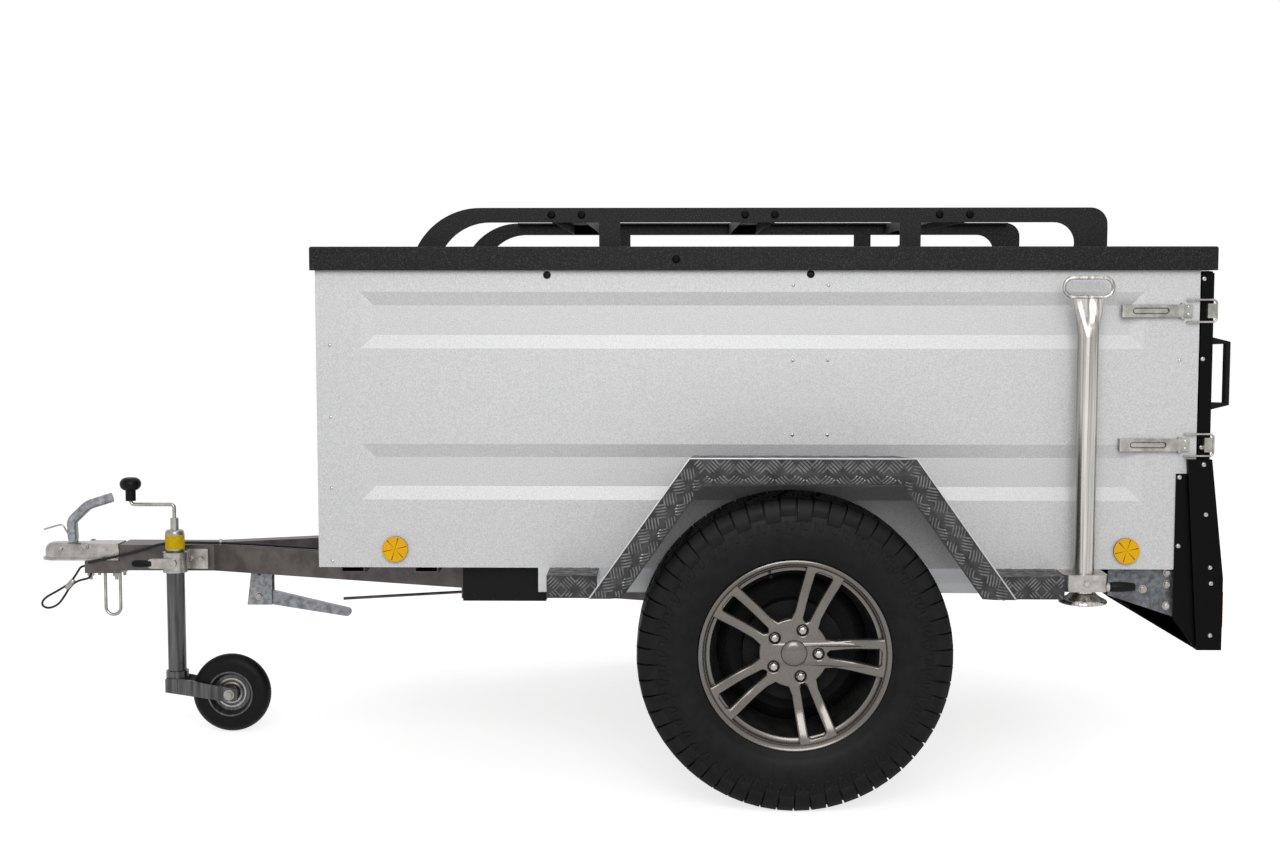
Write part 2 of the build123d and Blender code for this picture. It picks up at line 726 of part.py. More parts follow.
# Roof rack
rack_top = LID_TOP + RACK_HEIGHT
band_under = rack_top - RACK_BAND
rack_front_x = AXLE_X - RACK_FRONT
rack_front_top_x = AXLE_X - RACK_FRONT_TOP
rack_rear_x = AXLE_X + RACK_REAR
inner_front_x = rack_front_x + RACK_FOOT_FRONT
inner_rear_x = rack_rear_x - RACK_FOOT_REAR
arch_front_x = inner_front_x + RACK_FRONT_INNER
for side, sign in SIDES:
    with BuildPart() as rack_rail:
        with BuildSketch(side_plane(sign * rack_out)):
            with BuildLine():
                TangentArc((rack_front_top_x, rack_top), (rack_front_x, LID_TOP), tangent=(-1, 0))
                Line((rack_front_top_x, rack_top), (rack_rear_x - RACK_REAR_R, rack_top))
                RadiusArc(
                    (rack_rear_x - RACK_REAR_R, rack_top), (rack_rear_x, rack_top - RACK_REAR_R), RACK_REAR_R
                )
                Line((rack_rear_x, rack_top - RACK_REAR_R), (rack_rear_x, LID_TOP))
                Line((rack_rear_x, LID_TOP), (inner_rear_x, LID_TOP))
                TangentArc(
                    (inner_rear_x - RACK_REAR_INNER, band_under), (inner_rear_x, LID_TOP), tangent=(1, 0)
                )
                Line((inner_rear_x - RACK_REAR_INNER, band_under), (arch_front_x, band_under))
                TangentArc(
                    (arch_front_x, band_under), (inner_front_x, LID_TOP), tangent=(-1, 0)
                )
                Line((inner_front_x, LID_TOP), (rack_front_x, LID_TOP))
            make_face()
            with Locations([(AXLE_X + foot, (LID_TOP + band_under) / 2) for foot in RACK_FEET]):
                Rectangle(RACK_FOOT, band_under - LID_TOP)
        extrude(amount=sign * RACK_PLATE)
        flange_y = sign * (rack_out - RACK_FLANGE)
        block(
            rack_front_top_x,
            rack_rear_x - RACK_REAR_R,
            sign * rack_out,
            flange_y,
            rack_top - RACK_PLATE,
            rack_top,
        )
        shoe_places = [AXLE_X + foot for foot in RACK_FEET]
        shoe_places += [rack_front_x + RACK_FOOT_FRONT / 2, rack_rear_x - RACK_FOOT_REAR / 2]
        for shoe_x in shoe_places:
            block(
                shoe_x - RACK_FOOT / 2,
                shoe_x + RACK_FOOT / 2,
                sign * rack_out,
                sign * (rack_out - RACK_SHOE),
                LID_TOP,
                LID_TOP + RACK_PLATE,
            )
    save(rack_rail, f"rack_rail_{side}")

bar_top = rack_top - RACK_PLATE
bar_half = rack_out - RACK_PLATE
with BuildPart() as rack_crossbars:
    for bar in CROSSBARS:
        bar_x0 = AXLE_X + bar - CROSSBAR_WIDTH / 2
        bar_x1 = AXLE_X + bar + CROSSBAR_WIDTH / 2
        block(bar_x0, bar_x1, -bar_half, bar_half, bar_top - CROSSBAR_HEIGHT, bar_top)
        block(
            bar_x0 + CROSSBAR_WALL,
            bar_x1 - CROSSBAR_WALL,
            -bar_half,
            bar_half,
            bar_top - CROSSBAR_HEIGHT,
            bar_top - CROSSBAR_WALL,
            mode=Mode.SUBTRACT,
        )
save(rack_crossbars, "rack_crossbars")

# Tailgate with its hinges and grab handles
tailgate_half = BOX_HALF - TAILGATE_SIDE_GAP
tailgate_bottom = BOX_FLOOR + TAILGATE_RISE
tailgate_top = skirt_bottom - MOVE_GAP
tailgate_front_x = tailgate_x - TAILGATE_THICK
with BuildPart() as tailgate_panel:
    block(tailgate_front_x, tailgate_x, -tailgate_half, tailgate_half, tailgate_bottom, tailgate_top)
    block(
        tailgate_front_x,
        tailgate_x - TAILGATE_SKIN,
        -tailgate_half + TAILGATE_FRAME,
        tailgate_half - TAILGATE_FRAME,
        tailgate_bottom + TAILGATE_FRAME,
        tailgate_top - TAILGATE_FRAME,
        mode=Mode.SUBTRACT,
    )
save(tailgate_panel, "tailgate_panel")

gate_hinge_x = tailgate_x + TAILGATE_HINGE_OUT
gate_hinge_z = BUMPER_TOP + TAILGATE_HINGE_RISE
with BuildPart() as tailgate_hinge_bases:
    for side, sign in SIDES:
        hinge_y = sign * gate_hinge_out
        cross_cylinder(gate_hinge_x, gate_hinge_z, hinge_y - eye_half, hinge_y + eye_half, TAILGATE_EYE_R)
        cross_cylinder(gate_hinge_x, gate_hinge_z, hinge_y - leaf_half, hinge_y + leaf_half, HINGE_PIN_R)
        block(
            gate_hinge_x - TAILGATE_EYE_R,
            gate_hinge_x + TAILGATE_EYE_R,
            hinge_y - eye_half,
            hinge_y + eye_half,
            BUMPER_TOP,
            gate_hinge_z,
        )
save(tailgate_hinge_bases, "tailgate_hinge_bases")

with BuildPart() as tailgate_hinge_leaves:
    for side, sign in SIDES:
        hinge_y = sign * gate_hinge_out
        leaf_low = gate_hinge_z + TAILGATE_EYE_R + MOVE_GAP
        block(
            tailgate_x,
            tailgate_x + HINGE_LEAF_THICK,
            hinge_y - leaf_half,
            hinge_y + leaf_half,
            leaf_low,
            leaf_low + TAILGATE_LEAF,
        )
        for end in (-1, 1):
            near = hinge_y + end * (eye_half + SEAT_GAP)
            far = hinge_y + end * leaf_half
            cross_cylinder(gate_hinge_x, gate_hinge_z, near, far, TAILGATE_EYE_R)
            block(tailgate_x, gate_hinge_x, near, far, gate_hinge_z, leaf_low)
            cross_cylinder(gate_hinge_x, gate_hinge_z, near, far, HINGE_PIN_R + SEAT_GAP, mode=Mode.SUBTRACT)
save(tailgate_hinge_leaves, "tailgate_hinge_leaves")

handle_x = tailgate_x + HANDLE_DEPTH
grip_x = handle_x - HANDLE_GRIP
handle_top = HANDLE_BOTTOM + HANDLE_HEIGHT
with BuildPart() as tailgate_handles:
    for side, sign in SIDES:
        with BuildSketch(side_plane(sign * (handle_out - HANDLE_WIDTH / 2))):
            Polygon(
                (tailgate_x, HANDLE_BOTTOM),
                (handle_x, HANDLE_BOTTOM + HANDLE_SPLAY),
                (handle_x, handle_top - HANDLE_SPLAY),
                (tailgate_x, handle_top),
                align=None,
            )
            Polygon(
                (tailgate_x, HANDLE_BOTTOM + HANDLE_FOOT),
                (grip_x, HANDLE_BOTTOM + HANDLE_SPLAY + HANDLE_LEG),
                (grip_x, handle_top - HANDLE_SPLAY - HANDLE_LEG),
                (tailgate_x, handle_top - HANDLE_FOOT),
                align=None,
                mode=Mode.SUBTRACT,
            )
        extrude(amount=-sign * HANDLE_WIDTH)
save(tailgate_handles, "tailgate_handles")

# Toggle latches on the side walls, with their bails and keepers on the tailgate
latch_face = BOX_HALF + LATCH_BASE_THICK
bail_y = BOX_HALF + 2 * BAIL_R + MOVE_GAP
bail_back = tailgate_x + BAIL_R + SEAT_GAP
latch_rear_x = wall_rear_x - LATCH_INSET
lever_front_x = wall_rear_x - LATCH_REACH
window_x = lever_front_x + LATCH_WINDOW_AHEAD + LATCH_WINDOW / 2
with BuildPart() as toggle_latches:
    for side, sign in SIDES:
        for latch_z in LATCH_Z:
            half = LATCH_HEIGHT / 2
            lever_out = latch_face + LATCH_THICK
            block(
                latch_rear_x - LATCH_BASE_LENGTH,
                latch_rear_x,
                sign * BOX_HALF,
                sign * latch_face,
                latch_z - half,
                latch_z + half,
            )
            block(
                lever_front_x + LATCH_ROLL_R,
                lever_front_x + LATCH_LEVER,
                sign * latch_face,
                sign * lever_out,
                latch_z - half,
                latch_z + half,
            )
            up_cylinder(
                lever_front_x + LATCH_ROLL_R, sign * latch_face, latch_z - half, latch_z + half, LATCH_ROLL_R
            )
            with BuildSketch(side_plane(sign * lever_out)):
                with Locations((window_x, latch_z)):
                    SlotOverall(LATCH_WINDOW, LATCH_WINDOW_HEIGHT)
            extrude(amount=sign * LATCH_WINDOW_DEPTH, mode=Mode.SUBTRACT)
save(toggle_latches, "toggle_latches")

with BuildPart() as latch_bails:
    for side, sign in SIDES:
        for latch_z in LATCH_Z:
            bent_rod(
                (
                    (wall_rear_x - BAIL_INSET, latch_z - BAIL_HALF),
                    (bail_back, latch_z - BAIL_HALF),
                    (bail_back, latch_z + BAIL_HALF),
                    (wall_rear_x - BAIL_INSET, latch_z + BAIL_HALF),
                ),
                BAIL_R,
                BAIL_HALF / 3,
                side_plane(sign * bail_y),
            )
            block(
                tailgate_x - KEEPER_LENGTH,
                tailgate_x,
                sign * tailgate_half,
                sign * (tailgate_half + KEEPER_OUT),
                latch_z - KEEPER_HEIGHT / 2,
                latch_z + KEEPER_HEIGHT / 2,
            )
save(latch_bails, "latch_bails")

# Rear corner plates, bumper, skid and gussets
bumper_front_x = tailgate_x - BUMPER_AHEAD
bumper_rear_x = tailgate_x + BUMPER_BEHIND
cheek_front_x = wall_rear_x - CHEEK_INSET
flange_front_x = wall_rear_x - CHEEK_FLANGE_INSET
with BuildPart() as rear_cheeks:
    for side, sign in SIDES:
        with BuildSketch(side_plane(sign * cheek_in)):
            Polygon(
                (cheek_front_x, CHEEK_TOP),
                (tailgate_x, CHEEK_TOP),
                (bumper_rear_x, BUMPER_TOP),
                (bumper_rear_x, BUMPER_BOTTOM),
                (bumper_front_x, BUMPER_BOTTOM),
                align=None,
            )
        extrude(amount=-sign * CHEEK_THICK)
        with BuildSketch(side_plane(sign * BOX_HALF)):
            Polygon(
                (flange_front_x, CHEEK_FLANGE_TOP),
                (wall_rear_x, CHEEK_FLANGE_TOP),
                (bumper_front_x, BUMPER_BOTTOM),
                (flange_front_x, CHEEK_FLANGE_LOW),
                align=None,
            )
        extrude(amount=-sign * CHEEK_GAP)
save(rear_cheeks, "rear_cheeks")

with BuildPart() as rear_bumper:
    block(bumper_front_x, bumper_rear_x, -cheek_in, cheek_in, BUMPER_BOTTOM, BUMPER_TOP)
    block(
        bumper_front_x,
        bumper_rear_x - BUMPER_WALL,
        -cheek_in,
        cheek_in,
        BUMPER_BOTTOM + BUMPER_WALL,
        BUMPER_TOP - BUMPER_WALL,
        mode=Mode.SUBTRACT,
    )
save(rear_bumper, "rear_bumper")

skid_half = gusset_in + GUSSET_THICK
gusset_rear_x = wall_rear_x - GUSSET_INSET_X
gusset_front_x = gusset_rear_x - GUSSET_LENGTH
with BuildPart() as skid_plate:
    with BuildSketch(side_plane(-skid_half)):
        with BuildLine():
            Polyline(
                (gusset_front_x, GUSSET_FRONT_Z),
                (bumper_front_x, BUMPER_BOTTOM + SKID_THICK),
                (bumper_front_x, BUMPER_BOTTOM),
                (gusset_front_x, GUSSET_FRONT_Z - SKID_THICK),
                close=True,
            )
        make_face()
    extrude(amount=-2 * skid_half)
save(skid_plate, "skid_plate")

with BuildPart() as gussets:
    for side, sign in SIDES:
        with BuildSketch(side_plane(sign * gusset_in)):
            with BuildLine():
                Polyline(
                    (gusset_front_x, BOX_FLOOR),
                    (gusset_rear_x, BOX_FLOOR),
                    (gusset_rear_x, GUSSET_REAR_Z),
                    (gusset_front_x, GUSSET_FRONT_Z),
                    close=True,
                )
            make_face()
        extrude(amount=-sign * GUSSET_THICK)
save(gussets, "gussets")

lamp_z = (BUMPER_TOP + BUMPER_BOTTOM) / 2
lamp_plane = Plane((bumper_rear_x, 0, 0), x_dir=(0, 1, 0), z_dir=(1, 0, 0))
with BuildPart() as rear_lamps:
    with BuildSketch(lamp_plane):
        with Locations((-lamp_out, lamp_z), (lamp_out, lamp_z)):
            RectangleRounded(LAMP_LENGTH, LAMP_HEIGHT, LAMP_R)
    extrude(amount=LAMP_DEPTH)
    with BuildSketch(lamp_plane):
        with Locations((-triangle_out, lamp_z), (triangle_out, lamp_z)):
            RegularPolygon(TRIANGLE_SIDE / sqrt(3), 3, rotation=90)
    extrude(amount=TRIANGLE_THICK)
save(rear_lamps, "rear_lamps")

# Chassis sills, cross members and drawbar
sill_in = BOX_HALF - SILL_WIDTH
with BuildPart() as side_sills:
    for side, sign in SIDES:
        block(
            AXLE_X - SILL_FRONT,
            AXLE_X + SILL_REAR,
            sign * sill_in,
            sign * BOX_HALF,
            sill_bottom,
            BOX_FLOOR,
        )
        block(
            AXLE_X - SILL_FRONT,
            AXLE_X + SILL_REAR,
            sign * sill_in,
            sign * (BOX_HALF - SILL_WALL),
            sill_bottom + SILL_WALL,
            BOX_FLOOR - SILL_WALL,
            mode=Mode.SUBTRACT,
        )
save(side_sills, "side_sills")

cross_places = [front_wall_x + CROSS_FRONT_INSET, wall_rear_x - CROSS_REAR_INSET]
cross_places += [AXLE_X + cross for cross in CROSS_X]
with BuildPart() as cross_members:
    for cross_x in cross_places:
        cross_x0 = cross_x - CROSS_WIDTH / 2
        cross_x1 = cross_x + CROSS_WIDTH / 2
        block(cross_x0, cross_x1, -cross_half, cross_half, cross_bottom, BOX_FLOOR)
        block(
            cross_x0 + CROSS_WALL,
            cross_x1 - CROSS_WALL,
            -cross_half,
            cross_half,
            cross_bottom + CROSS_WALL,
            BOX_FLOOR,
            mode=Mode.SUBTRACT,
        )
save(cross_members, "cross_members")

drawbar_rear_x = AXLE_X - DRAWBAR_REAR
drawbar_front_x = nose_x + COUPLING_LENGTH
bend_x = drawbar_front_x + DRAWBAR_STRAIGHT


def drawbar_outline(inset, sign):
    """The plan of one drawbar tube, drawn in by inset from both of its long faces."""
    bend_shift = tan(atan(DRAWBAR_SLOPE) / 2)
    run = drawbar_rear_x - bend_x
    slant = sqrt(1 + DRAWBAR_SLOPE ** 2)
    out_bend = bend_x + inset * bend_shift
    in_bend = bend_x + (DRAWBAR_WIDTH - inset) * bend_shift
    out_rear = DRAWBAR_WIDTH + run * DRAWBAR_SLOPE - inset * slant
    in_rear = DRAWBAR_WIDTH + run * DRAWBAR_SLOPE - (DRAWBAR_WIDTH - inset) * slant
    with BuildLine(mode=Mode.PRIVATE) as outline:
        Polyline(
            (drawbar_front_x, sign * (DRAWBAR_WIDTH - inset)),
            (out_bend, sign * (DRAWBAR_WIDTH - inset)),
            (drawbar_rear_x, sign * out_rear),
            (drawbar_rear_x, sign * in_rear),
            (in_bend, sign * inset),
            (drawbar_front_x, sign * inset),
            close=True,
        )
    return make_face(outline.line.edges(), mode=Mode.PRIVATE)


for side, sign in SIDES:
    with BuildPart() as drawbar:
        with BuildSketch(Plane.XY.offset(drawbar_bottom)):
            add(drawbar_outline(SEAT_GAP if sign > 0 else 0, sign))
        extrude(amount=DRAWBAR_HEIGHT)
        with BuildSketch(Plane.XY.offset(drawbar_bottom + DRAWBAR_WALL)):
            add(drawbar_outline(DRAWBAR_WALL, sign))
        extrude(amount=DRAWBAR_HEIGHT - 2 * DRAWBAR_WALL, mode=Mode.SUBTRACT)
    save(drawbar, f"drawbar_{side}")

# Coupling, its handle and the cable eye
block_front_x = drawbar_front_x - NOSE_BLOCK_LENGTH
coupling_base = NOSE_BLOCK_TOP + COUPLING_FLANGE
coupling_top = coupling_base + COUPLING_HEIGHT
cup_x = nose_x + CUP_CENTRE
tail_x = drawbar_front_x - COUPLING_TAIL_GAP
with BuildPart() as nose_block:
    block(block_front_x, drawbar_front_x, -DRAWBAR_WIDTH, DRAWBAR_WIDTH, NOSE_BLOCK_BOTTOM, NOSE_BLOCK_TOP)
save(nose_block, "nose_block")

with BuildPart() as coupling_body:
    for half, base, height in (
        (CUP_CENTRE, NOSE_BLOCK_TOP, COUPLING_FLANGE),
        (CUP_CENTRE - COUPLING_FLANGE, coupling_base, COUPLING_HEIGHT),
    ):
        with BuildSketch(Plane.XY.offset(base)):
            with Locations((cup_x, 0)):
                Circle(half)
            with Locations(((cup_x + tail_x) / 2, 0)):
                Rectangle(tail_x - cup_x, 2 * half)
        extrude(amount=height)
    fillet(coupling_body.edges().group_by(Axis.Z)[-1], COUPLING_ROUND)
    with BuildSketch(Plane.XY.offset(NOSE_BLOCK_TOP)):
        with Locations((tail_x - COUPLING_TAIL / 2, 0)):
            RectangleRounded(COUPLING_TAIL, 2 * COUPLING_TAIL_HALF, COUPLING_TAIL_ROUND)
    extrude(amount=coupling_top - NOSE_BLOCK_TOP)
    with Locations((cup_x, 0, NOSE_BLOCK_TOP)):
        Sphere(BALL_R, mode=Mode.SUBTRACT)
save(coupling_body, "coupling_body")

pivot_x = nose_x + HANDLE_PIVOT
with BuildPart() as coupling_handle:
    with BuildLine(side_plane(0)) as grip_line:
        FilletPolyline(*[(pivot_x + x, coupling_top + z) for x, z in GRIP_ROUTE], radius=GRIP_BENDS)
    grip_path = grip_line.wire()
    with BuildSketch(Plane(grip_path.position_at(0), x_dir=(0, 1, 0), z_dir=grip_path.tangent_at(0))):
        RectangleRounded(GRIP_WIDTH, GRIP_HEIGHT, GRIP_LUG)
    sweep(path=grip_path)
    block(
        pivot_x - GRIP_LUG,
        pivot_x + GRIP_LUG,
        -GRIP_WIDTH / 2,
        GRIP_WIDTH / 2,
        coupling_top,
        coupling_top + GRIP_HEIGHT,
    )
save(coupling_handle, "coupling_handle")

eye_front_x = nose_x + EYE_BACK
eye_rear_x = eye_front_x + EYE_LENGTH
with BuildPart() as cable_eye:
    bent_rod(
        (
            (eye_front_x + EYE_R, NOSE_BLOCK_BOTTOM),
            (eye_front_x + EYE_R, EYE_BOTTOM + EYE_R),
            (eye_rear_x - EYE_R, EYE_BOTTOM + EYE_R),
            (eye_rear_x - EYE_R, NOSE_BLOCK_BOTTOM),
        ),
        EYE_R,
        EYE_BEND,
        side_plane(0),
    )
save(cable_eye, "cable_eye")

# Fenders and running boards
fender_slope = (fender_foot_half - fender_top_half) / (fender_top - FENDER_FOOT)
fender_slant = sqrt(1 + fender_slope ** 2)
fender_x = AXLE_X + FENDER_CENTRE


def fender_outline(inset, foot):
    """Corner points of the fender's outline, drawn in by inset, down to a foot height."""
    corner = fender_top_half + fender_slope * inset - inset * fender_slant
    toe = fender_top_half + fender_slope * (fender_top - foot) - inset * fender_slant
    top = fender_top - inset
    return (
        (fender_x - toe, foot),
        (fender_x - corner, top),
        (fender_x + corner, top),
        (fender_x + toe, foot),
    )


def fender_layer(sections, mode):
    """A solid between two outlines, each given as (y, inset, foot)."""
    faces = []
    for y, inset, foot in sections:
        with BuildSketch(side_plane(y), mode=Mode.PRIVATE) as face:
            Polygon(*fender_outline(inset, foot), align=None)
        faces.append(face.sketch)
    loft(faces, mode=mode)


cut_foot = FENDER_FOOT - FENDER_LIP
for side, sign in SIDES:
    near_y = sign * (BOX_HALF + SEAT_GAP)
    lip_y = sign * (fender_out - FENDER_THICK)
    out_y = sign * fender_out
    with BuildPart() as fender:
        fender_layer(((near_y, FENDER_FLARE, FENDER_FOOT), (out_y, 0, FENDER_FOOT)), Mode.ADD)
        fender_layer(
            ((near_y, FENDER_FLARE + FENDER_THICK, cut_foot), (lip_y, FENDER_THICK, cut_foot)), Mode.SUBTRACT
        )
        fender_layer(((lip_y, FENDER_LIP, cut_foot), (out_y, FENDER_LIP, cut_foot)), Mode.SUBTRACT)
        turn_y = sign * (fender_out - FENDER_TURN_BACK)
        turn_inset = FENDER_LIP + FENDER_TURN
        root_inset = FENDER_LIP - FENDER_THICK
        with BuildPart(mode=Mode.PRIVATE) as turned_edge:
            fender_layer(((turn_y, turn_inset, FENDER_FOOT), (out_y, root_inset, FENDER_FOOT)), Mode.ADD)
            fender_layer(
                ((turn_y, turn_inset + FENDER_THICK, cut_foot), (out_y, FENDER_LIP, cut_foot)), Mode.SUBTRACT
            )
        add(turned_edge.part)
    save(fender, f"fender_{side}")

board_low = BOX_FLOOR - BOARD_LIP
toe_half = fender_foot_half - (BOX_FLOOR - FENDER_FOOT) * fender_slope
board_starts = (
    (AXLE_X - BOARD_FRONT, fender_x - toe_half - MOVE_GAP),
    (fender_x + toe_half + MOVE_GAP, AXLE_X + BOARD_REAR),
)
with BuildPart() as running_boards:
    for side, sign in SIDES:
        for board_x0, board_x1 in board_starts:
            block(board_x0, board_x1, sign * BOX_HALF, sign * board_out, BOX_FLOOR - BOARD_THICK, BOX_FLOOR)
            block(
                board_x0,
                board_x1,
                sign * (board_out - BOARD_THICK),
                sign * board_out,
                board_low,
                BOX_FLOOR,
            )
save(running_boards, "running_boards")

# Side reflectors and chock boxes
reflector_places = (front_wall_x + REFLECTOR_FRONT_INSET, wall_rear_x - REFLECTOR_REAR_INSET)
with BuildPart() as side_reflectors:
    for side, sign in SIDES:
        for reflector_x in reflector_places:
            cross_cylinder(
                reflector_x,
                REFLECTOR_Z,
                sign * BOX_HALF,
                sign * (BOX_HALF + REFLECTOR_THICK),
                REFLECTOR_R,
            )
save(side_reflectors, "side_reflectors")

with BuildPart() as chock_boxes:
    for side, sign in SIDES:
        chock_in = chock_out - CHOCK_WIDTH
        chock_x0 = AXLE_X - CHOCK_FRONT
        chock_x1 = AXLE_X - CHOCK_REAR
        block(chock_x0, chock_x1, sign * chock_in, sign * chock_out, CHOCK_BOTTOM, BOX_FLOOR)
        block(
            chock_x0 + CHOCK_WALL,
            chock_x1,
            sign * (chock_in + CHOCK_WALL),
            sign * (chock_out - CHOCK_WALL),
            CHOCK_BOTTOM + CHOCK_WALL,
            BOX_FLOOR - CHOCK_WALL,
            mode=Mode.SUBTRACT,
        )
save(chock_boxes, "chock_boxes")

# Jockey wheel
jockey_x = nose_x + JOCKEY_BACK
jockey_y = -JOCKEY_Y
tube_bore = JOCKEY_TUBE_R - JOCKEY_TUBE_WALL
sleeve_r = JOCKEY_TUBE_R + CLAMP_WALL
clamp_top = CLAMP_BOTTOM + CLAMP_HEIGHT
clamp_out_y = jockey_y - sleeve_r
lever_x = jockey_x - CLAMP_LEVER_AHEAD
lever_z = CLAMP_BOTTOM + CLAMP_HEIGHT / 2
with BuildPart() as jockey_clamp:
    up_cylinder(jockey_x, jockey_y, CLAMP_BOTTOM, clamp_top, sleeve_r)
    block(
        jockey_x - JOCKEY_TUBE_R, jockey_x + JOCKEY_TUBE_R, jockey_y, -DRAWBAR_WIDTH, CLAMP_BOTTOM, clamp_top
    )
    block(
        jockey_x - sleeve_r,
        jockey_x + CLAMP_BACK,
        -DRAWBAR_WIDTH - CLAMP_PLATE,
        -DRAWBAR_WIDTH,
        CLAMP_BOTTOM,
        clamp_top,
    )
    with BuildSketch(side_plane(clamp_out_y + CLAMP_WALL / 2)):
        with Locations((lever_x, lever_z)):
            SlotOverall(CLAMP_LEVER, CLAMP_LEVER_HEIGHT)
    extrude(amount=CLAMP_WALL / 2 + CLAMP_LEVER_THICK)
    grip_rear_x = lever_x - CLAMP_LEVER / 2 + CLAMP_GRIP_R
    grip_y = clamp_out_y - CLAMP_LEVER_THICK / 2
    long_cylinder(grip_rear_x - CLAMP_GRIP, grip_rear_x, grip_y, lever_z, CLAMP_GRIP_R)
    up_cylinder(jockey_x, jockey_y, CLAMP_BOTTOM, clamp_top, JOCKEY_TUBE_R + SEAT_GAP, mode=Mode.SUBTRACT)
save(jockey_clamp, "jockey_clamp")

with BuildPart() as jockey_tube:
    up_cylinder(jockey_x, jockey_y, JOCKEY_TUBE_BOTTOM, JOCKEY_HEAD_Z, JOCKEY_TUBE_R)
    up_cylinder(jockey_x, jockey_y, JOCKEY_TUBE_BOTTOM, JOCKEY_HEAD_Z, tube_bore, mode=Mode.SUBTRACT)
save(jockey_tube, "jockey_tube")

band_top = JOCKEY_HEAD_Z + JOCKEY_BAND_HEIGHT
socket_low = band_top + JOCKEY_CAP_HEIGHT
socket_top = socket_low + JOCKEY_SOCKET_HEIGHT
with BuildPart() as jockey_head:
    up_cylinder(jockey_x, jockey_y, JOCKEY_HEAD_Z, socket_low, JOCKEY_BAND_R)
    fillet(jockey_head.edges().group_by(Axis.Z)[-1], JOCKEY_CAP_ROUND)
    up_cylinder(jockey_x, jockey_y, socket_low, socket_top, JOCKEY_SOCKET_R)
save(jockey_head, "jockey_head")

knob_x = jockey_x - CRANK_REACH
crank_z = socket_top + CRANK_RISE
knob_low = crank_z + 2 * CRANK_R
with BuildPart() as jockey_crank:
    bent_rod(
        ((jockey_x, socket_top), (jockey_x, crank_z), (knob_x, crank_z), (knob_x, knob_low)),
        CRANK_R,
        CRANK_BEND,
        side_plane(jockey_y),
    )
save(jockey_crank, "jockey_crank")

with BuildPart() as jockey_knob:
    with BuildSketch(Plane((knob_x, jockey_y, knob_low), x_dir=(1, 0, 0), z_dir=(0, -1, 0))):
        with BuildLine():
            Line((0, 0), (KNOB_NECK_R, 0))
            Line((KNOB_NECK_R, 0), (KNOB_NECK_R, KNOB_NECK))
            ThreePointArc((KNOB_NECK_R, KNOB_NECK), (KNOB_R, KNOB_WIDEST), (KNOB_NECK_R, KNOB_HEIGHT))
            Line((KNOB_NECK_R, KNOB_HEIGHT), (0, KNOB_HEIGHT))
            Line((0, KNOB_HEIGHT), (0, 0))
        make_face()
    revolve(axis=Axis((knob_x, jockey_y, 0), (0, 0, 1)))
save(jockey_knob, "jockey_knob")

caster_x = jockey_x + CASTER_TRAIL
plate_in = CASTER_WIDTH / 2 + FORK_SIDE_GAP
plate_out = plate_in + FORK_PLATE
fork_roof = FORK_TOP + FORK_BRIDGE / 2
with BuildPart() as jockey_fork:
    up_cylinder(jockey_x, jockey_y, FORK_TOP, CLAMP_BOTTOM - CLAMP_HEIGHT, tube_bore - SEAT_GAP)
    up_cylinder(jockey_x, jockey_y, FORK_TOP, JOCKEY_TUBE_BOTTOM - SEAT_GAP, FORK_COLLAR_R)
    for cheek in (-1, 1):
        with BuildSketch(side_plane(jockey_y + cheek * plate_in)):
            with BuildLine():
                Polyline(
                    (jockey_x - JOCKEY_TUBE_R, fork_roof),
                    (jockey_x + JOCKEY_TUBE_R, fork_roof),
                    (caster_x + FORK_TAIL, CASTER_R + FORK_TAIL_HALF),
                    (caster_x + FORK_TAIL, CASTER_R - FORK_TAIL_HALF),
                    (caster_x - FORK_HEEL, CASTER_R - FORK_HEEL_DROP),
                    (jockey_x - JOCKEY_TUBE_R, fork_roof - FORK_BROW),
                    close=True,
                )
            make_face()
        extrude(amount=-cheek * FORK_PLATE)
    block(
        jockey_x - JOCKEY_TUBE_R,
        jockey_x + JOCKEY_TUBE_R,
        jockey_y - plate_in,
        jockey_y + plate_in,
        fork_roof - FORK_BRIDGE,
        fork_roof,
    )
    cross_cylinder(caster_x, CASTER_R, jockey_y - plate_out, jockey_y + plate_out, CASTER_AXLE_R)
save(jockey_fork, "jockey_fork")

caster_half = CASTER_WIDTH / 2
caster_axis = Axis((caster_x, 0, CASTER_R), (0, 1, 0))
caster_plane = Plane((caster_x, jockey_y, CASTER_R), x_dir=(0, 1, 0), z_dir=(1, 0, 0))
with BuildPart() as jockey_tyre:
    with BuildSketch(caster_plane):
        with BuildLine():
            Polyline(
                (-caster_half, CASTER_R - caster_half),
                (-caster_half, CASTER_RIM_R),
                (caster_half, CASTER_RIM_R),
                (caster_half, CASTER_R - caster_half),
            )
            ThreePointArc(
                (-caster_half, CASTER_R - caster_half), (0, CASTER_R), (caster_half, CASTER_R - caster_half)
            )
        make_face()
    revolve(axis=caster_axis)
save(jockey_tyre, "jockey_tyre")

caster_bore = CASTER_AXLE_R + SEAT_GAP
rim_r = CASTER_RIM_R - SEAT_GAP
with BuildPart() as jockey_rim:
    with BuildSketch(caster_plane):
        with BuildLine():
            Polyline(
                (-caster_half, caster_bore),
                (-caster_half, caster_bore + CASTER_BOSS),
                (-CASTER_WEB_HALF, caster_bore + CASTER_BOSS_FLARE),
                (-CASTER_WEB_HALF, rim_r - CASTER_DISH),
                (-caster_half, rim_r - CASTER_LIP),
                (-caster_half, rim_r),
                (caster_half, rim_r),
                (caster_half, rim_r - CASTER_LIP),
                (CASTER_WEB_HALF, rim_r - CASTER_DISH),
                (CASTER_WEB_HALF, caster_bore + CASTER_BOSS_FLARE),
                (caster_half, caster_bore + CASTER_BOSS),
                (caster_half, caster_bore),
                close=True,
            )
        make_face()
    revolve(axis=caster_axis)
save(jockey_rim, "jockey_rim")

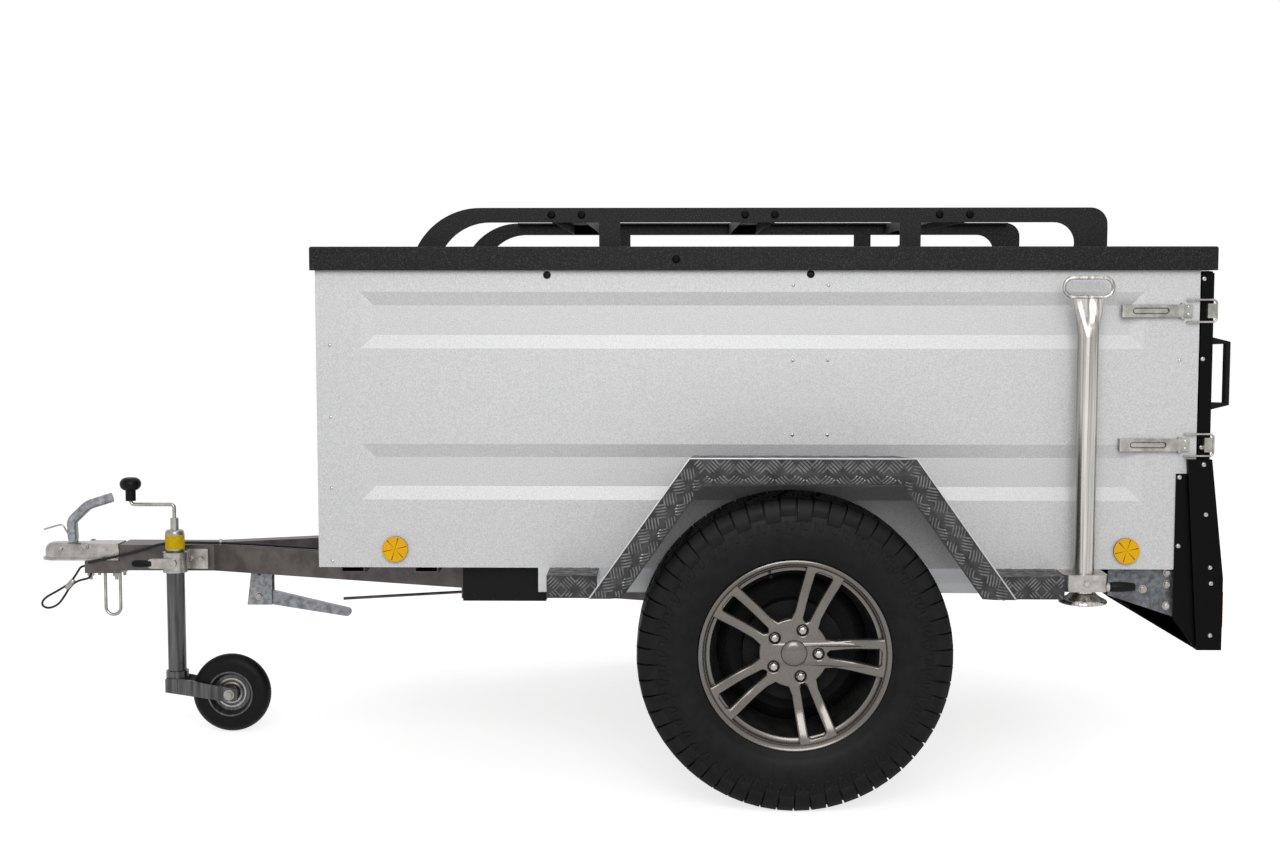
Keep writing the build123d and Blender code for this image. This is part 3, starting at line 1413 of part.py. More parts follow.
# Front steady leg, its bracket and release rod
steady_x = nose_x + STEADY_BACK
steady_bottom = drawbar_bottom - STEADY_DROP
steady_pivot_z = steady_bottom + STEADY_PIVOT_RISE
steady_half = STEADY_WIDTH / 2
with BuildPart() as steady_bracket:
    block(
        steady_x - STEADY_PLATE_HALF + STEADY_PLATE_TAPER,
        steady_x + STEADY_PLATE_HALF,
        STEADY_Y - steady_half,
        STEADY_Y + steady_half,
        drawbar_bottom - STEADY_PLATE,
        drawbar_bottom,
    )
    for cheek in (-1, 1):
        with BuildSketch(side_plane(STEADY_Y + cheek * steady_half)):
            Polygon(
                (steady_x - STEADY_PLATE_HALF + STEADY_PLATE_TAPER, drawbar_bottom),
                (steady_x + STEADY_PLATE_HALF, drawbar_bottom),
                (steady_x + STEADY_PLATE_HALF, steady_bottom),
                (steady_x - STEADY_PLATE_HALF, steady_bottom),
                align=None,
            )
            with Locations((steady_x, drawbar_bottom - STEADY_HOLE_DROP)):
                Circle(STEADY_HOLE_R, mode=Mode.SUBTRACT)
        extrude(amount=cheek * STEADY_PLATE)
    cross_cylinder(
        steady_x, steady_pivot_z, STEADY_Y - steady_half, STEADY_Y + steady_half, STEADY_PIN_R - SEAT_GAP
    )
save(steady_bracket, "steady_bracket")

with BuildPart() as steady_leg:
    tip_x = steady_x + STEADY_LENGTH
    tip_z = steady_pivot_z - STEADY_SLOPE
    with BuildSketch(side_plane(STEADY_Y - STEADY_THICK / 2)):
        with Locations((steady_x, steady_pivot_z)):
            Circle(STEADY_ROOT_R)
        with Locations((tip_x, tip_z)):
            Circle(STEADY_TIP_R)
        make_hull()
        with Locations((steady_x, steady_pivot_z)):
            Circle(STEADY_PIN_R, mode=Mode.SUBTRACT)
    extrude(amount=-STEADY_THICK)
save(steady_leg, "steady_leg")

with BuildPart() as release_rod:
    rod_front_x = steady_x + ROD_BEHIND
    rod_rear_x = rod_front_x + ROD_LENGTH
    with BuildLine(side_plane(STEADY_Y)) as rod_line:
        Line((rod_front_x, ROD_FRONT_Z), (rod_rear_x, ROD_REAR_Z))
    rod_path = rod_line.wire()
    with BuildSketch(Plane(rod_path.position_at(0), z_dir=rod_path.tangent_at(0))):
        Circle(ROD_R)
    sweep(path=rod_path)
    hanger_x = rod_rear_x - ROD_HANGER_AHEAD
    block(
        hanger_x,
        hanger_x + ROD_HANGER_THICK,
        STEADY_Y - ROD_HANGER_HALF,
        STEADY_Y + ROD_HANGER_HALF,
        ROD_REAR_Z - ROD_HANGER_DROP,
        cross_bottom,
    )
save(release_rod, "release_rod")

# Rear prop stands in their clamps
prop_x = AXLE_X + PROP_X
for side, sign in SIDES:
    prop_y = sign * prop_out
    with BuildPart() as prop_stand:
        up_cylinder(prop_x, prop_y, PROP_BOTTOM, PROP_TOP, PROP_R)
        with BuildSketch(Plane.XY.offset(PROP_TOP)):
            with Locations((prop_x, prop_y)):
                Circle(PROP_R)
        with BuildSketch(Plane.XY.offset(PROP_FLAT_TOP)):
            with Locations((prop_x, prop_y)):
                Ellipse(PROP_FLAT_WIDTH / 2, PROP_FLAT_THICK / 2)
        loft()
        up_cylinder(prop_x, prop_y, PROP_BOTTOM, PROP_TOP, PROP_R - PROP_WALL, mode=Mode.SUBTRACT)
        loop_end = (PROP_LOOP_LENGTH - PROP_LOOP_HEIGHT) / 2
        loop_low = PROP_FLAT_TOP - PROP_LOOP_SINK + PROP_LOOP_R
        loop_high = PROP_FLAT_TOP - PROP_LOOP_SINK + PROP_LOOP_HEIGHT - PROP_LOOP_R
        loop_z = (loop_low + loop_high) / 2
        for bar_z in (loop_low, loop_high):
            long_cylinder(prop_x - loop_end, prop_x + loop_end, prop_y, bar_z, PROP_LOOP_R)
        for end in (-1, 1):
            bend_axis = Axis((prop_x + end * loop_end, prop_y, loop_z), (0, -end, 0))
            with BuildSketch(Plane((prop_x + end * loop_end, prop_y, loop_low), z_dir=(1, 0, 0))):
                Circle(PROP_LOOP_R)
            revolve(axis=bend_axis, revolution_arc=180)
        with BuildSketch(Plane((prop_x, prop_y, FOOT_BOTTOM), x_dir=(1, 0, 0), z_dir=(0, -1, 0))):
            with BuildLine():
                Polyline(
                    (0, FOOT_DISH),
                    (FOOT_R - FOOT_SOLE, FOOT_DISH),
                    (FOOT_R - FOOT_DISH, 0),
                    (FOOT_R, FOOT_EDGE),
                    (FOOT_R - FOOT_ROUND, FOOT_BROW),
                    (PROP_R + FOOT_NECK, FOOT_HEIGHT),
                    (0, FOOT_HEIGHT),
                    close=True,
                )
            make_face()
        revolve(axis=Axis((prop_x, prop_y, 0), (0, 0, 1)))
    save(prop_stand, f"prop_stand_{side}")

prop_clamp_low = BOX_FLOOR - PROP_CLAMP_HEIGHT
with BuildPart() as prop_clamps:
    for side, sign in SIDES:
        clamp_out = prop_out + PROP_R + PROP_CLAMP_WALL
        with BuildSketch(Plane.XY.offset(prop_clamp_low)) as clamp_plan:
            with Locations((prop_x, sign * (BOX_HALF + clamp_out) / 2)):
                Rectangle(2 * PROP_CLAMP_HALF, clamp_out - BOX_HALF)
            fillet(clamp_plan.vertices().group_by(Axis.Y)[-1 if sign > 0 else 0], PROP_CLAMP_ROUND)
        extrude(amount=PROP_CLAMP_HEIGHT)
        up_cylinder(
            prop_x, sign * prop_out, prop_clamp_low, BOX_FLOOR, PROP_R + SEAT_GAP, mode=Mode.SUBTRACT
        )
        long_cylinder(
            prop_x + PROP_CLAMP_HALF - PROP_CLAMP_ROUND,
            prop_x + PROP_CLAMP_HALF + PROP_LEVER,
            sign * (clamp_out - PROP_CLAMP_ROUND),
            prop_clamp_low + PROP_GRIP_R,
            PROP_GRIP_R,
        )
save(prop_clamps, "prop_clamps")

# Lighting lead on the drawbar, and the safety cable that hangs from the nose
# Lead: distance from the box towards the nose, then y and z; safety cable: distance from the nose, y and z
LEAD_ROUTE = (
    (0, -175, 499),
    (85, -145, 499.5),
    (185, -108, 499),
    (295, -66, 499.5),
    (395, -38, 499),
    (485, -36, 499.5),
    (535, -48, 501),
    (571, -61, 496),
    (611, -62, 481),
    (657, -60, 469),
    (707, -57, 458),
    (757, -56, 447),
)
lead_rear_x = front_wall_x + LEAD_UNDER_BOX
lead_stretch = (lead_rear_x - nose_x - LEAD_NOSE) / LEAD_ROUTE[-1][0]
cable([(lead_rear_x - x * lead_stretch, y, z) for x, y, z in LEAD_ROUTE], LEAD_R, "lighting_lead")

SAFETY_ROUTE = (
    (128, -44, 436),
    (116, -44, 436),
    (106, -50, 416),
    (88, -54, 390),
    (54, -55, 369),
    (18, -55, 350),
    (8, -56, 331),
    (27, -57, 320),
    (56, -58, 331),
    (76, -60, 358),
    (92, -61, 385),
    (114, -56, 399),
    (144, -46, 403),
    (144, -46, 417),
)
cable([(nose_x + x, y, z) for x, y, z in SAFETY_ROUTE], SAFETY_R, "safety_cable")
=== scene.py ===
import math

import bmesh
import bpy
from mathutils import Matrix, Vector


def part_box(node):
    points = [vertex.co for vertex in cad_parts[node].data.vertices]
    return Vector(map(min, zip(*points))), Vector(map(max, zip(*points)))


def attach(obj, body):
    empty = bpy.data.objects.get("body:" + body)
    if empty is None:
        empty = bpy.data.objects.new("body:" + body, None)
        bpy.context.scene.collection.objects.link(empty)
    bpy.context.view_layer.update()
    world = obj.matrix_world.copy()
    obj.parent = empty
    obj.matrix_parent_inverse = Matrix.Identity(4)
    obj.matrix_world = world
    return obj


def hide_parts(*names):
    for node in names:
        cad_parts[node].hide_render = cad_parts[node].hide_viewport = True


bl_info = {
    "name": "Rooftop tent trailer",
    "version": (1, 0, 0),
    "blender": (4, 5, 0),
    "location": "View3D > Sidebar > Trailer",
    "description": "Dresses the packed off-road rooftop tent trailer with its finishes and small pieces",
    "category": "Object",
}

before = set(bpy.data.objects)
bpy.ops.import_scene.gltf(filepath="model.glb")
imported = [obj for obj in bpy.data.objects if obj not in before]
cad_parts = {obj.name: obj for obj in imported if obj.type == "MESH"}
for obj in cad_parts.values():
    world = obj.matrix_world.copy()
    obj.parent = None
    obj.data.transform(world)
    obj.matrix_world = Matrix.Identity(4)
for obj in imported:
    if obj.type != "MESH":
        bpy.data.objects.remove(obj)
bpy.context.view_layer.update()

SIDES = (("left", -1), ("right", 1))
SIGNS = (-1, 1)
MM = 1000


def middle(node):
    """The middle of a frame node's box."""
    low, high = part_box(node)
    return (low + high) / 2


# Places on the frame; a side's lengths are given for the right side and mirrored
AXLE = middle("tyre_left")
WHEEL_OUT = abs(AXLE.y)
TYRE_R = AXLE.z
WALL_OUT = -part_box("box_side_left")[0].y
FLOOR_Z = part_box("box_side_left")[0].z
LID_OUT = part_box("lid_shell")[1].y
GATE_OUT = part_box("tailgate_panel")[1].y
CHEEK_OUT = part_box("rear_cheeks")[1].y
FENDER_LOW, FENDER_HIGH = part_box("fender_left")
BOARD_LOW, BOARD_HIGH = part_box("running_boards")


def from_axle(place):
    """A place whose length along the trailer is given from the axle, as a place in the frame."""
    return (AXLE.x + place[0], place[1], place[2])


def linear(hex_colour):
    """An sRGB hex colour as linear RGBA."""
    channels = [int(hex_colour[i : i + 2], 16) / 255 for i in (1, 3, 5)]
    return tuple(c / 12.92 if c <= 0.04045 else ((c + 0.055) / 1.055) ** 2.4 for c in channels) + (1.0,)


def size(name, description, default):
    """A length that a user may change, in metres."""
    return bpy.props.FloatProperty(name=name, description=description, default=default, min=0, unit="LENGTH")


def count(name, description, default):
    """A number of like things that a user may change."""
    return bpy.props.IntProperty(name=name, description=description, default=default, min=1)


def colour(name, description, hex_colour):
    """A colour that a user may change."""
    return bpy.props.FloatVectorProperty(
        name=name, description=description, default=linear(hex_colour), size=4, min=0, max=1, subtype="COLOR"
    )


class TrailerColours(bpy.types.PropertyGroup):
    """Main colours of the trailer."""

    sheet: colour("Box sheet", "Silver of the box walls", "#C0C0C1")
    coat: colour("Lid coat", "Black of the lid and the rack", "#060606")
    rim: colour("Rim lacquer", "Gunmetal of the road wheels", "#625E5A")
    rubber: colour("Tyre rubber", "Rubber of the tyres", "#090909")
    zinc: colour("Bright zinc", "Plated fittings", "#8E8B86")
    galvanised: colour("Galvanised steel", "Drawbar and axle", "#625D5B")
    checker: colour("Checker plate", "Fenders and running boards", "#424142")
    # The checker bars' colour is a painted highlight on the crests of the bars
    bars: colour("Checker bars", "Worn crests of the checker plate", "#767576")
    amber: colour("Amber lens", "Side reflectors", "#F8C400")
    band: colour("Jockey band", "Vinyl band on the jockey wheel's head", "#E0BC06")


class TyreSizes(bpy.types.PropertyGroup):
    """Sizes of the off-road tyres."""

    lugs: count("Shoulder lugs", "Shoulder lugs round each side of a tyre", 58)
    ribs: count("Sidewall ribs", "Biting ribs under the lugs, round each side of a tyre", 116)
    depth: size("Tread depth", "Depth of the grooves", 0.011)


class PlateSizes(bpy.types.PropertyGroup):
    """Sizes of the checker plate's raised bars."""

    cell: size("Cell", "Side of one group of bars", 0.034)
    height: size("Height", "Height of the bars", 0.0014)
    fold: size("Fold", "Radius of the fender's folded edge", 0.0018)


class ScrewSizes(bpy.types.PropertyGroup):
    """Sizes of the small fasteners."""

    rivet: size("Rivet", "Radius of a rivet head", 0.0042)
    plug: size("Plug", "Radius of a wall plug", 0.0095)
    button: size("Button screw", "Radius of a button head", 0.0062)
    rack_bolt: size("Rack bolt", "Radius of a rack bolt's head", 0.0095)
    hexagon: size("Hexagon bolt", "Radius of a hexagon bolt's head", 0.0075)


# Materials


def add_node(tree, kind, settings=(), inputs=(), links=()):
    """Adds a shader node with its settings, its input values and its links from other nodes' outputs."""
    node = tree.nodes.new(kind)
    for key, value in dict(settings).items():
        setattr(node, key, value)
    for key, value in dict(inputs).items():
        node.inputs[key].default_value = value
    for key, (source, output) in dict(links).items():
        tree.links.new(source.outputs[output], node.inputs[key])
    return node


FINISH = {}
NOISE_ROUGHNESS = 0.6
BUMP_SHARE = 0.25


def grained(
    key, name, dark, light, grain, bump, rough,
    spread=(0.35, 0.65), detail=3.0, stretch=(1, 1, 1), **shader_values,
):
    """Adds a finish whose colour, roughness and height follow one noise with grains of a real size in mm."""
    material = bpy.data.materials.new(name)
    material.use_nodes = True
    tree = material.node_tree
    shader = tree.nodes["Principled BSDF"]
    for socket, value in shader_values.items():
        shader.inputs[socket.replace("_", " ")].default_value = value
    place = add_node(tree, "ShaderNodeTexCoord")
    drawn = add_node(
        tree, "ShaderNodeMapping", inputs={"Scale": stretch}, links={"Vector": (place, "Object")}
    )
    noise = add_node(
        tree,
        "ShaderNodeTexNoise",
        inputs={"Scale": MM / grain, "Detail": detail, "Roughness": NOISE_ROUGHNESS},
        links={"Vector": (drawn, "Vector")},
    )
    ramp = add_node(tree, "ShaderNodeValToRGB", links={"Fac": (noise, "Fac")})
    for stop, position, tone in zip(ramp.color_ramp.elements, spread, (dark, light)):
        stop.position = position
        stop.color = linear(tone) if isinstance(tone, str) else tone
    gloss = add_node(
        tree,
        "ShaderNodeMapRange",
        inputs={"To Min": rough[0], "To Max": rough[1]},
        links={"Value": (noise, "Fac")},
    )
    height = add_node(
        tree,
        "ShaderNodeBump",
        inputs={"Strength": bump, "Distance": BUMP_SHARE * grain / MM},
        links={"Height": (noise, "Fac")},
    )
    tree.links.new(ramp.outputs["Color"], shader.inputs["Base Color"])
    tree.links.new(gloss.outputs["Result"], shader.inputs["Roughness"])
    tree.links.new(height.outputs["Normal"], shader.inputs["Normal"])
    FINISH[key] = material


def make_finishes(colours):
    """Every finish on the trailer: name, dark and light colour, grain in mm, bump, roughness from and to."""
    # Stucco embossed aluminium sheet: fine sparkling grain, drawn a little coarser than real so that it shows
    grained("sheet", "stucco_aluminium", colours.sheet, "#D9D9DA", 2.8, 0.3, (0.42, 0.6), Metallic=0.2)
    # Rolled aluminium profile with a plain mill finish: soft, even silver
    grained(
        "sill", "mill_aluminium", "#B9BABD", "#CBCCCE", 20, 0.04, (0.34, 0.46),
        stretch=(0.1, 1, 1), Metallic=0.5,
    )
    # Sprayed textured coat: black, with pale specks on its crests that are painted glints of light, drawn
    # coarser than real so that they show
    grained(
        "coat", "textured_black_coat", colours.coat, "#4E4E51", 2.8, 0.9, (0.4, 0.6),
        spread=(0.52, 0.78), Specular_IOR_Level=0.18,
    )
    # Satin powder coat on steel plate: even black with a soft sheen
    grained(
        "satin_black", "satin_black_powder_coat", "#030303", "#080808", 2.2, 0.12, (0.36, 0.48),
        Specular_IOR_Level=0.07,
    )
    # Vulcanised rubber: deep black with a soft sheen and faint dusty patches
    grained(
        "rubber", "tyre_rubber", colours.rubber, "#161617", 30, 0.04, (0.42, 0.58),
        detail=8.0, Specular_IOR_Level=0.14,
    )
    # Cast alloy under gunmetal lacquer: dark metallic grey, evenly glossy
    grained(
        "rim", "lacquered_cast_alloy", colours.rim, "#716C68", 1.6, 0.03, (0.2, 0.32),
        Metallic=0.7, Coat_Weight=0.3, Coat_Roughness=0.1,
    )
    # The same lacquer inside the barrel, dull, darkened to near black as painted shade inside the wheel
    grained("barrel", "painted_shade_rim_barrel", "#100F0F", "#1C1B1A", 30, 0.05, (0.5, 0.65), Specular_IOR_Level=0.2)
    # Bright zinc plating: light grey metal with a faint cloudy haze
    grained(
        "zinc", "bright_zinc_plating", colours.zinc, "#B5B2AD", 30, 0.02, (0.2, 0.36),
        detail=6.0, Metallic=0.85,
    )
    # Plated and polished tube: drawing marks run along it
    grained(
        "tube", "polished_zinc_tube", "#8C8884", "#D2CFCB", 6, 0.03, (0.22, 0.32),
        stretch=(1, 1, 0.012), Metallic=1.0,
    )
    # Hot dip galvanised steel, weathered to an even brown grey
    grained(
        "galvanised", "weathered_galvanised_steel", "#494543", colours.galvanised, 50, 0.03, (0.36, 0.5),
        detail=6.0, Metallic=0.7,
    )
    # Fresh galvanised plate: pale blue grey with cloudy crystals
    grained(
        "plate_zinc", "fresh_galvanised_plate", "#75787C", "#A5A8AC", 14, 0.03, (0.34, 0.46), Metallic=0.6
    )
    # The same plate behind the wheels, painted darker as the shade that falls there
    grained(
        "painted_shade_zinc", "painted_shade_galvanised_plate", "#4C4E51", "#74777B", 14, 0.03, (0.4, 0.52), Metallic=0.6
    )
    # Drawn steel tube under clear passivation: smooth mid grey
    grained(
        "grey_tube", "passivated_steel_tube", "#3E3D3E", "#666566", 10, 0.02, (0.28, 0.4),
        stretch=(1, 1, 0.05), Metallic=0.8,
    )
    # Rolled checker plate between its raised bars: dark grey
    grained(
        "checker", "rolled_checker_plate", "#2E2D2E", colours.checker, 30, 0.04, (0.34, 0.48), Metallic=0.7
    )
    # Crests of the bars, painted lighter as a painted highlight where they catch the light
    grained("bars", "painted_highlight_checker_bars", "#555455", colours.bars, 20, 0.04, (0.26, 0.4), Metallic=0.8)
    # Cast iron, painted dark: dull and slightly rough
    grained("iron", "painted_cast_iron", "#0C0C0C", "#161616", 6, 0.3, (0.5, 0.65), Specular_IOR_Level=0.1)
    # Injection moulded black plastic with a fine spark-eroded grain
    grained(
        "plastic", "moulded_black_plastic", "#050505", "#0C0C0C", 1.5, 0.2, (0.34, 0.48),
        Specular_IOR_Level=0.14,
    )
    # Solid rubber of the jockey wheel: black with a soft sheen
    grained(
        "solid_rubber", "solid_black_rubber", "#070707", "#0F0F0F", 8, 0.05, (0.42, 0.56),
        Specular_IOR_Level=0.14,
    )
    # Film faced plywood: dark brown film with a faint grain along the trailer
    grained(
        "plywood", "film_faced_plywood", "#2B1B11", "#4A3120", 10, 0.1, (0.4, 0.55), stretch=(0.08, 1, 1)
    )
    # Acrylic lenses with fine prisms behind a clear face
    for key, name, dark, light in (
        ("amber", "amber_acrylic_lens", "#EEAE00", colours.amber),
        ("amber_base", "dark_amber_acrylic", "#7A4A00", "#9A6200"),
        ("red", "red_acrylic_lens", "#8A0606", "#BE0F0F"),
    ):
        grained(key, name, dark, light, 3, 0.4, (0.15, 0.25), Specular_IOR_Level=0.2)
    # Vinyl band: smooth, even yellow
    grained(
        "band", "yellow_vinyl_band", "#CBA805", colours.band, 10, 0.02, (0.4, 0.5), Specular_IOR_Level=0.2
    )
    # Cable jacket: smooth soft black plastic
    grained(
        "jacket", "black_cable_jacket", "#0A0A0B", "#161617", 4, 0.05, (0.45, 0.6), Specular_IOR_Level=0.3
    )
    # Natural nylon of the cable tie: milky white
    grained("nylon", "natural_nylon", "#DAD8D2", "#E9E8E4", 4, 0.05, (0.35, 0.45))
    # Stainless button screws and rivets: bright with a fine turned haze
    grained("screw", "stainless_screw", "#8F8F91", "#BDBDBF", 4, 0.05, (0.24, 0.36), Metallic=1.0)


NODE_FINISH = {
    "sheet": ("box_side_left", "box_side_right", "box_front", "rear_header"),
    "sill": ("side_sills",),
    "coat": ("lid_shell", "rack_rail_left", "rack_rail_right", "rack_crossbars"),
    "satin_black": (
        "tailgate_panel", "tailgate_hinge_bases", "tailgate_hinge_leaves",
        "rear_cheeks", "rear_bumper", "skid_plate",
    ),
    "plastic": ("tailgate_handles", "chock_boxes", "jockey_knob"),
    "rubber": ("tyre_left", "tyre_right"),
    "solid_rubber": ("jockey_tyre",),
    "rim": ("rim_left", "rim_right"),
    "iron": ("hub_left", "hub_right", "swing_arms"),
    "galvanised": (
        "axle_beam", "cross_members", "drawbar_left", "drawbar_right", "nose_block", "release_rod",
    ),
    "grey_tube": ("jockey_tube", "jockey_fork", "jockey_rim"),
    "plate_zinc": ("steady_bracket", "steady_leg", "coupling_handle"),
    # The gussets take the plate darkened with painted shade
    "painted_shade_zinc": ("gussets",),
    "zinc": (
        "lid_hinge_bases", "lid_hinge_leaves", "toggle_latches", "latch_bails", "coupling_body",
        "cable_eye", "jockey_clamp", "jockey_head", "jockey_crank", "prop_clamps",
    ),
    "tube": ("prop_stand_left", "prop_stand_right"),
    "checker": ("fender_left", "fender_right", "running_boards"),
    "amber_base": ("side_reflectors",),
    "red": ("rear_lamps",),
    "plywood": ("floor_panel",),
    "jacket": ("lighting_lead", "safety_cable"),
}


# Mesh helpers


def skin(bm, rings, closed=False):
    """Joins rings of points, a ring of one point being a tip; closed joins the last ring to the first."""
    pairs = list(zip(rings, rings[1:]))
    if closed:
        pairs.append((rings[-1], rings[0]))
    for lower, upper in pairs:
        steps = max(len(lower), len(upper))
        for step in range(steps):
            after = (step + 1) % steps
            if len(lower) == 1:
                bm.faces.new((lower[0], upper[after], upper[step]))
            elif len(upper) == 1:
                bm.faces.new((lower[step], lower[after], upper[0]))
            else:
                bm.faces.new((lower[step], lower[after], upper[after], upper[step]))


def eased(value):
    """A value held between 0 and 1 that starts and ends softly."""
    share = min(max(value, 0), 1)
    return share * share * (3 - 2 * share)


def circle(radius, steps, turn=0.0):
    """Points round a flat circle."""
    angles = [turn + 2 * math.pi * step / steps for step in range(steps)]
    return [(radius * math.cos(angle), radius * math.sin(angle)) for angle in angles]


def turned(bm, centre, axis, profile, steps=16, turn=0.0, closed=False):
    """A turned solid: profile points (radius, height) go round an axis; radius 0 closes an end."""
    spin = Vector((0, 0, 1)).rotation_difference(Vector(axis).normalized()).to_matrix()
    rings = []
    for radius, height in profile:
        flat = circle(radius, steps, turn) if radius else [(0, 0)]
        rings.append([bm.verts.new(Vector(centre) + spin @ Vector((u, v, height))) for u, v in flat])
    skin(bm, rings, closed)


def ring_loop(inner, outer, low, high):
    """A turned ring's closed loop of (radius, height)."""
    return ((inner, low), (outer, low), (outer, high), (inner, high))


def hoop(bm, path, radius, steps=12):
    """A closed round bar along a ring of points in a plane along the trailer."""
    across = Vector((0, 1, 0))
    rings = []
    for i, here in enumerate(path):
        ahead = (Vector(path[(i + 1) % len(path)]) - Vector(path[i - 1])).normalized()
        up = ahead.cross(across)
        rings.append([bm.verts.new(Vector(here) + u * across + v * up) for u, v in circle(radius, steps)])
    skin(bm, rings, closed=True)


def plate(bm, outline, depth):
    """A flat plate: outline points round one face, pushed along a depth vector."""
    near = [bm.verts.new(Vector(p)) for p in outline]
    far = [bm.verts.new(Vector(p) + Vector(depth)) for p in outline]
    bm.faces.new(near)
    bm.faces.new(far[::-1])
    skin(bm, [near, far])


def make_piece(name, bm, finish, body, bevel=0.0, smooth_angle=35):
    """Turns a mesh into a piece that rides on a body and takes a finish."""
    bmesh.ops.recalc_face_normals(bm, faces=bm.faces)
    mesh = bpy.data.meshes.new(name)
    bm.to_mesh(mesh)
    bm.free()
    mesh.materials.append(FINISH[finish])
    piece = bpy.data.objects.new(name, mesh)
    bpy.context.collection.objects.link(piece)
    mesh.shade_smooth()
    mesh.set_sharp_from_angle(angle=math.radians(smooth_angle))
    if bevel:
        rounding = piece.modifiers.new("rounded edges", "BEVEL")
        rounding.width = bevel
        rounding.segments = 2
        rounding.limit_method = "ANGLE"
        rounding.harden_normals = True
    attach(piece, body)
    return piece


def rod_piece(name, points, radius, finish, body, kind="NURBS"):
    """A round rod or cable along a spline with a row of control points."""
    curve = bpy.data.curves.new(name, "CURVE")
    curve.dimensions = "3D"
    curve.bevel_depth = radius
    curve.bevel_resolution = 4
    curve.use_fill_caps = True
    spline = curve.splines.new(kind)
    spline.points.add(len(points) - 1)
    for point, place in zip(spline.points, points):
        point.co = (*place, 1)
    spline.order_u = 3
    spline.use_endpoint_u = True
    spline.resolution_u = 12
    curve.materials.append(FINISH[finish])
    piece = bpy.data.objects.new(name, curve)
    bpy.context.collection.objects.link(piece)
    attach(piece, body)
    return piece


# Heads of small fasteners: profiles in shares of the head's radius (across, up), each with its steps round
HEADS = {
    "dome": ((((0, 0), (1, 0), (0.92, 0.25), (0.6, 0.46), (0, 0.55)), 14),),
    "button": ((((0, 0), (1, 0), (0.95, 0.25), (0.72, 0.5), (0.45, 0.56), (0.4, 0.2), (0, 0.2)), 18),),
    "hexagon": (
        (((0, 0), (1.35, 0), (1.35, 0.22), (0, 0.22)), 24),
        (((0, 0.22), (1, 0.22), (1, 1.05), (0.8, 1.176), (0, 1.176)), 6),
    ),
}


def head(bm, kind, place, out, radius):
    """A fastener's head: a low rivet dome, a button with its socket, or a hexagon on its washer."""
    for profile, steps in HEADS[kind]:
        turned(bm, place, out, [(radius * across, radius * up) for across, up in profile], steps)


# Road wheels


def wheel_point(wheel_y, angle, along, radius):
    """A point of a road wheel: angle round the axle, along outwards from the wheel's middle."""
    out = math.copysign(1, wheel_y)
    return (
        AXLE.x + radius * math.cos(angle),
        wheel_y + out * along,
        AXLE.z + radius * math.sin(angle),
    )


def wheel_ring(bm, wheel_y, profile, steps):
    """A closed ring round the axle: profile points (along, radius) make a closed loop."""
    rings = []
    for along, radius in profile:
        angles = [2 * math.pi * step / steps for step in range(steps)]
        rings.append([bm.verts.new(wheel_point(wheel_y, angle, along, radius)) for angle in angles])
    skin(bm, rings, closed=True)


LUG_FLARE = 0.05


def lug(bm, wheel_y, spans, base, top):
    """A tread lug along a path: spans holds its angles, base and top its points (along, radius)."""
    rows = []
    for (start, end), low, high in zip(spans, base, top):
        flare = LUG_FLARE * (end - start)
        rows.append(
            [
                bm.verts.new(wheel_point(wheel_y, start - flare, *low)),
                bm.verts.new(wheel_point(wheel_y, start, *high)),
                bm.verts.new(wheel_point(wheel_y, end, *high)),
                bm.verts.new(wheel_point(wheel_y, end + flare, *low)),
            ]
        )
    skin(bm, rows)
    bm.faces.new(rows[0][::-1])
    bm.faces.new(rows[-1])


# Carcass under the lugs, from the outer bead to the crown: (along, radius below the tyre's edge)
CARCASS_HALF = (
    (0.088, 0.146),
    (0.0965, 0.137),
    (0.0985, 0.131),
    (0.1045, 0.125),
    (0.110, 0.110),
    (0.1128, 0.092),
    (0.1135, 0.078),
    (0.1120, 0.062),
    (0.1085, 0.047),
    (0.1035, 0.033),
    (0.0975, 0.0165),
    (0.088, 0.008),
    (0.060, 0.0065),
    (0.020, 0.0065),
)
LUG_BASE = (
    (0.058, 0.0105), (0.080, 0.0115), (0.095, 0.021), (0.1005, 0.030), (0.1055, 0.040), (0.1095, 0.052),
)
LUG_TOP = (
    (0.058, 0.0), (0.080, 0.0005), (0.0955, 0.003), (0.1035, 0.012), (0.1085, 0.026), (0.1118, 0.044),
)
LUG_SHARE = 0.88
LUG_LEAN = 0.08
CENTRE_ROWS = ((-0.050, -0.019), (-0.013, 0.013), (0.019, 0.050))
CENTRE_SHARE = 0.8
CENTRE_LEAN = 0.18
RIB_TOP = 0.049
RIB_REACH = (0.088, 0.070, 0.080, 0.070)
RIB_SHARE = 0.5
RIB_LEANS = (-0.2, 0.4)
RIB_FOOT = (0.1080, 0.1115)
RIB_CREST = (0.1120, 0.1145)
RIB_TIP_RISE = 0.004
TYRE_STEPS = 144


def from_edge(points, flank=1):
    """Profile points whose radius is given below the tyre's edge, on one flank of the tyre."""
    return [(flank * along, TYRE_R - drop) for along, drop in points]


def shoulder_lugs(bm, wheel_y, flank, number):
    """Shoulder lugs round one flank, every second one reaching further down."""
    pitch = 2 * math.pi / number
    base = from_edge(LUG_BASE, flank)
    top = from_edge(LUG_TOP, flank)
    for i in range(number):
        start = (i + (0.5 if flank > 0 else 0)) * pitch
        rows = len(base) - (i + 1) % 2
        leans = [LUG_LEAN * k / rows for k in range(rows)]
        spans = [(start + lean * pitch, start + (lean + LUG_SHARE) * pitch) for lean in leans]
        lug(bm, wheel_y, spans, base[:rows], top[:rows])


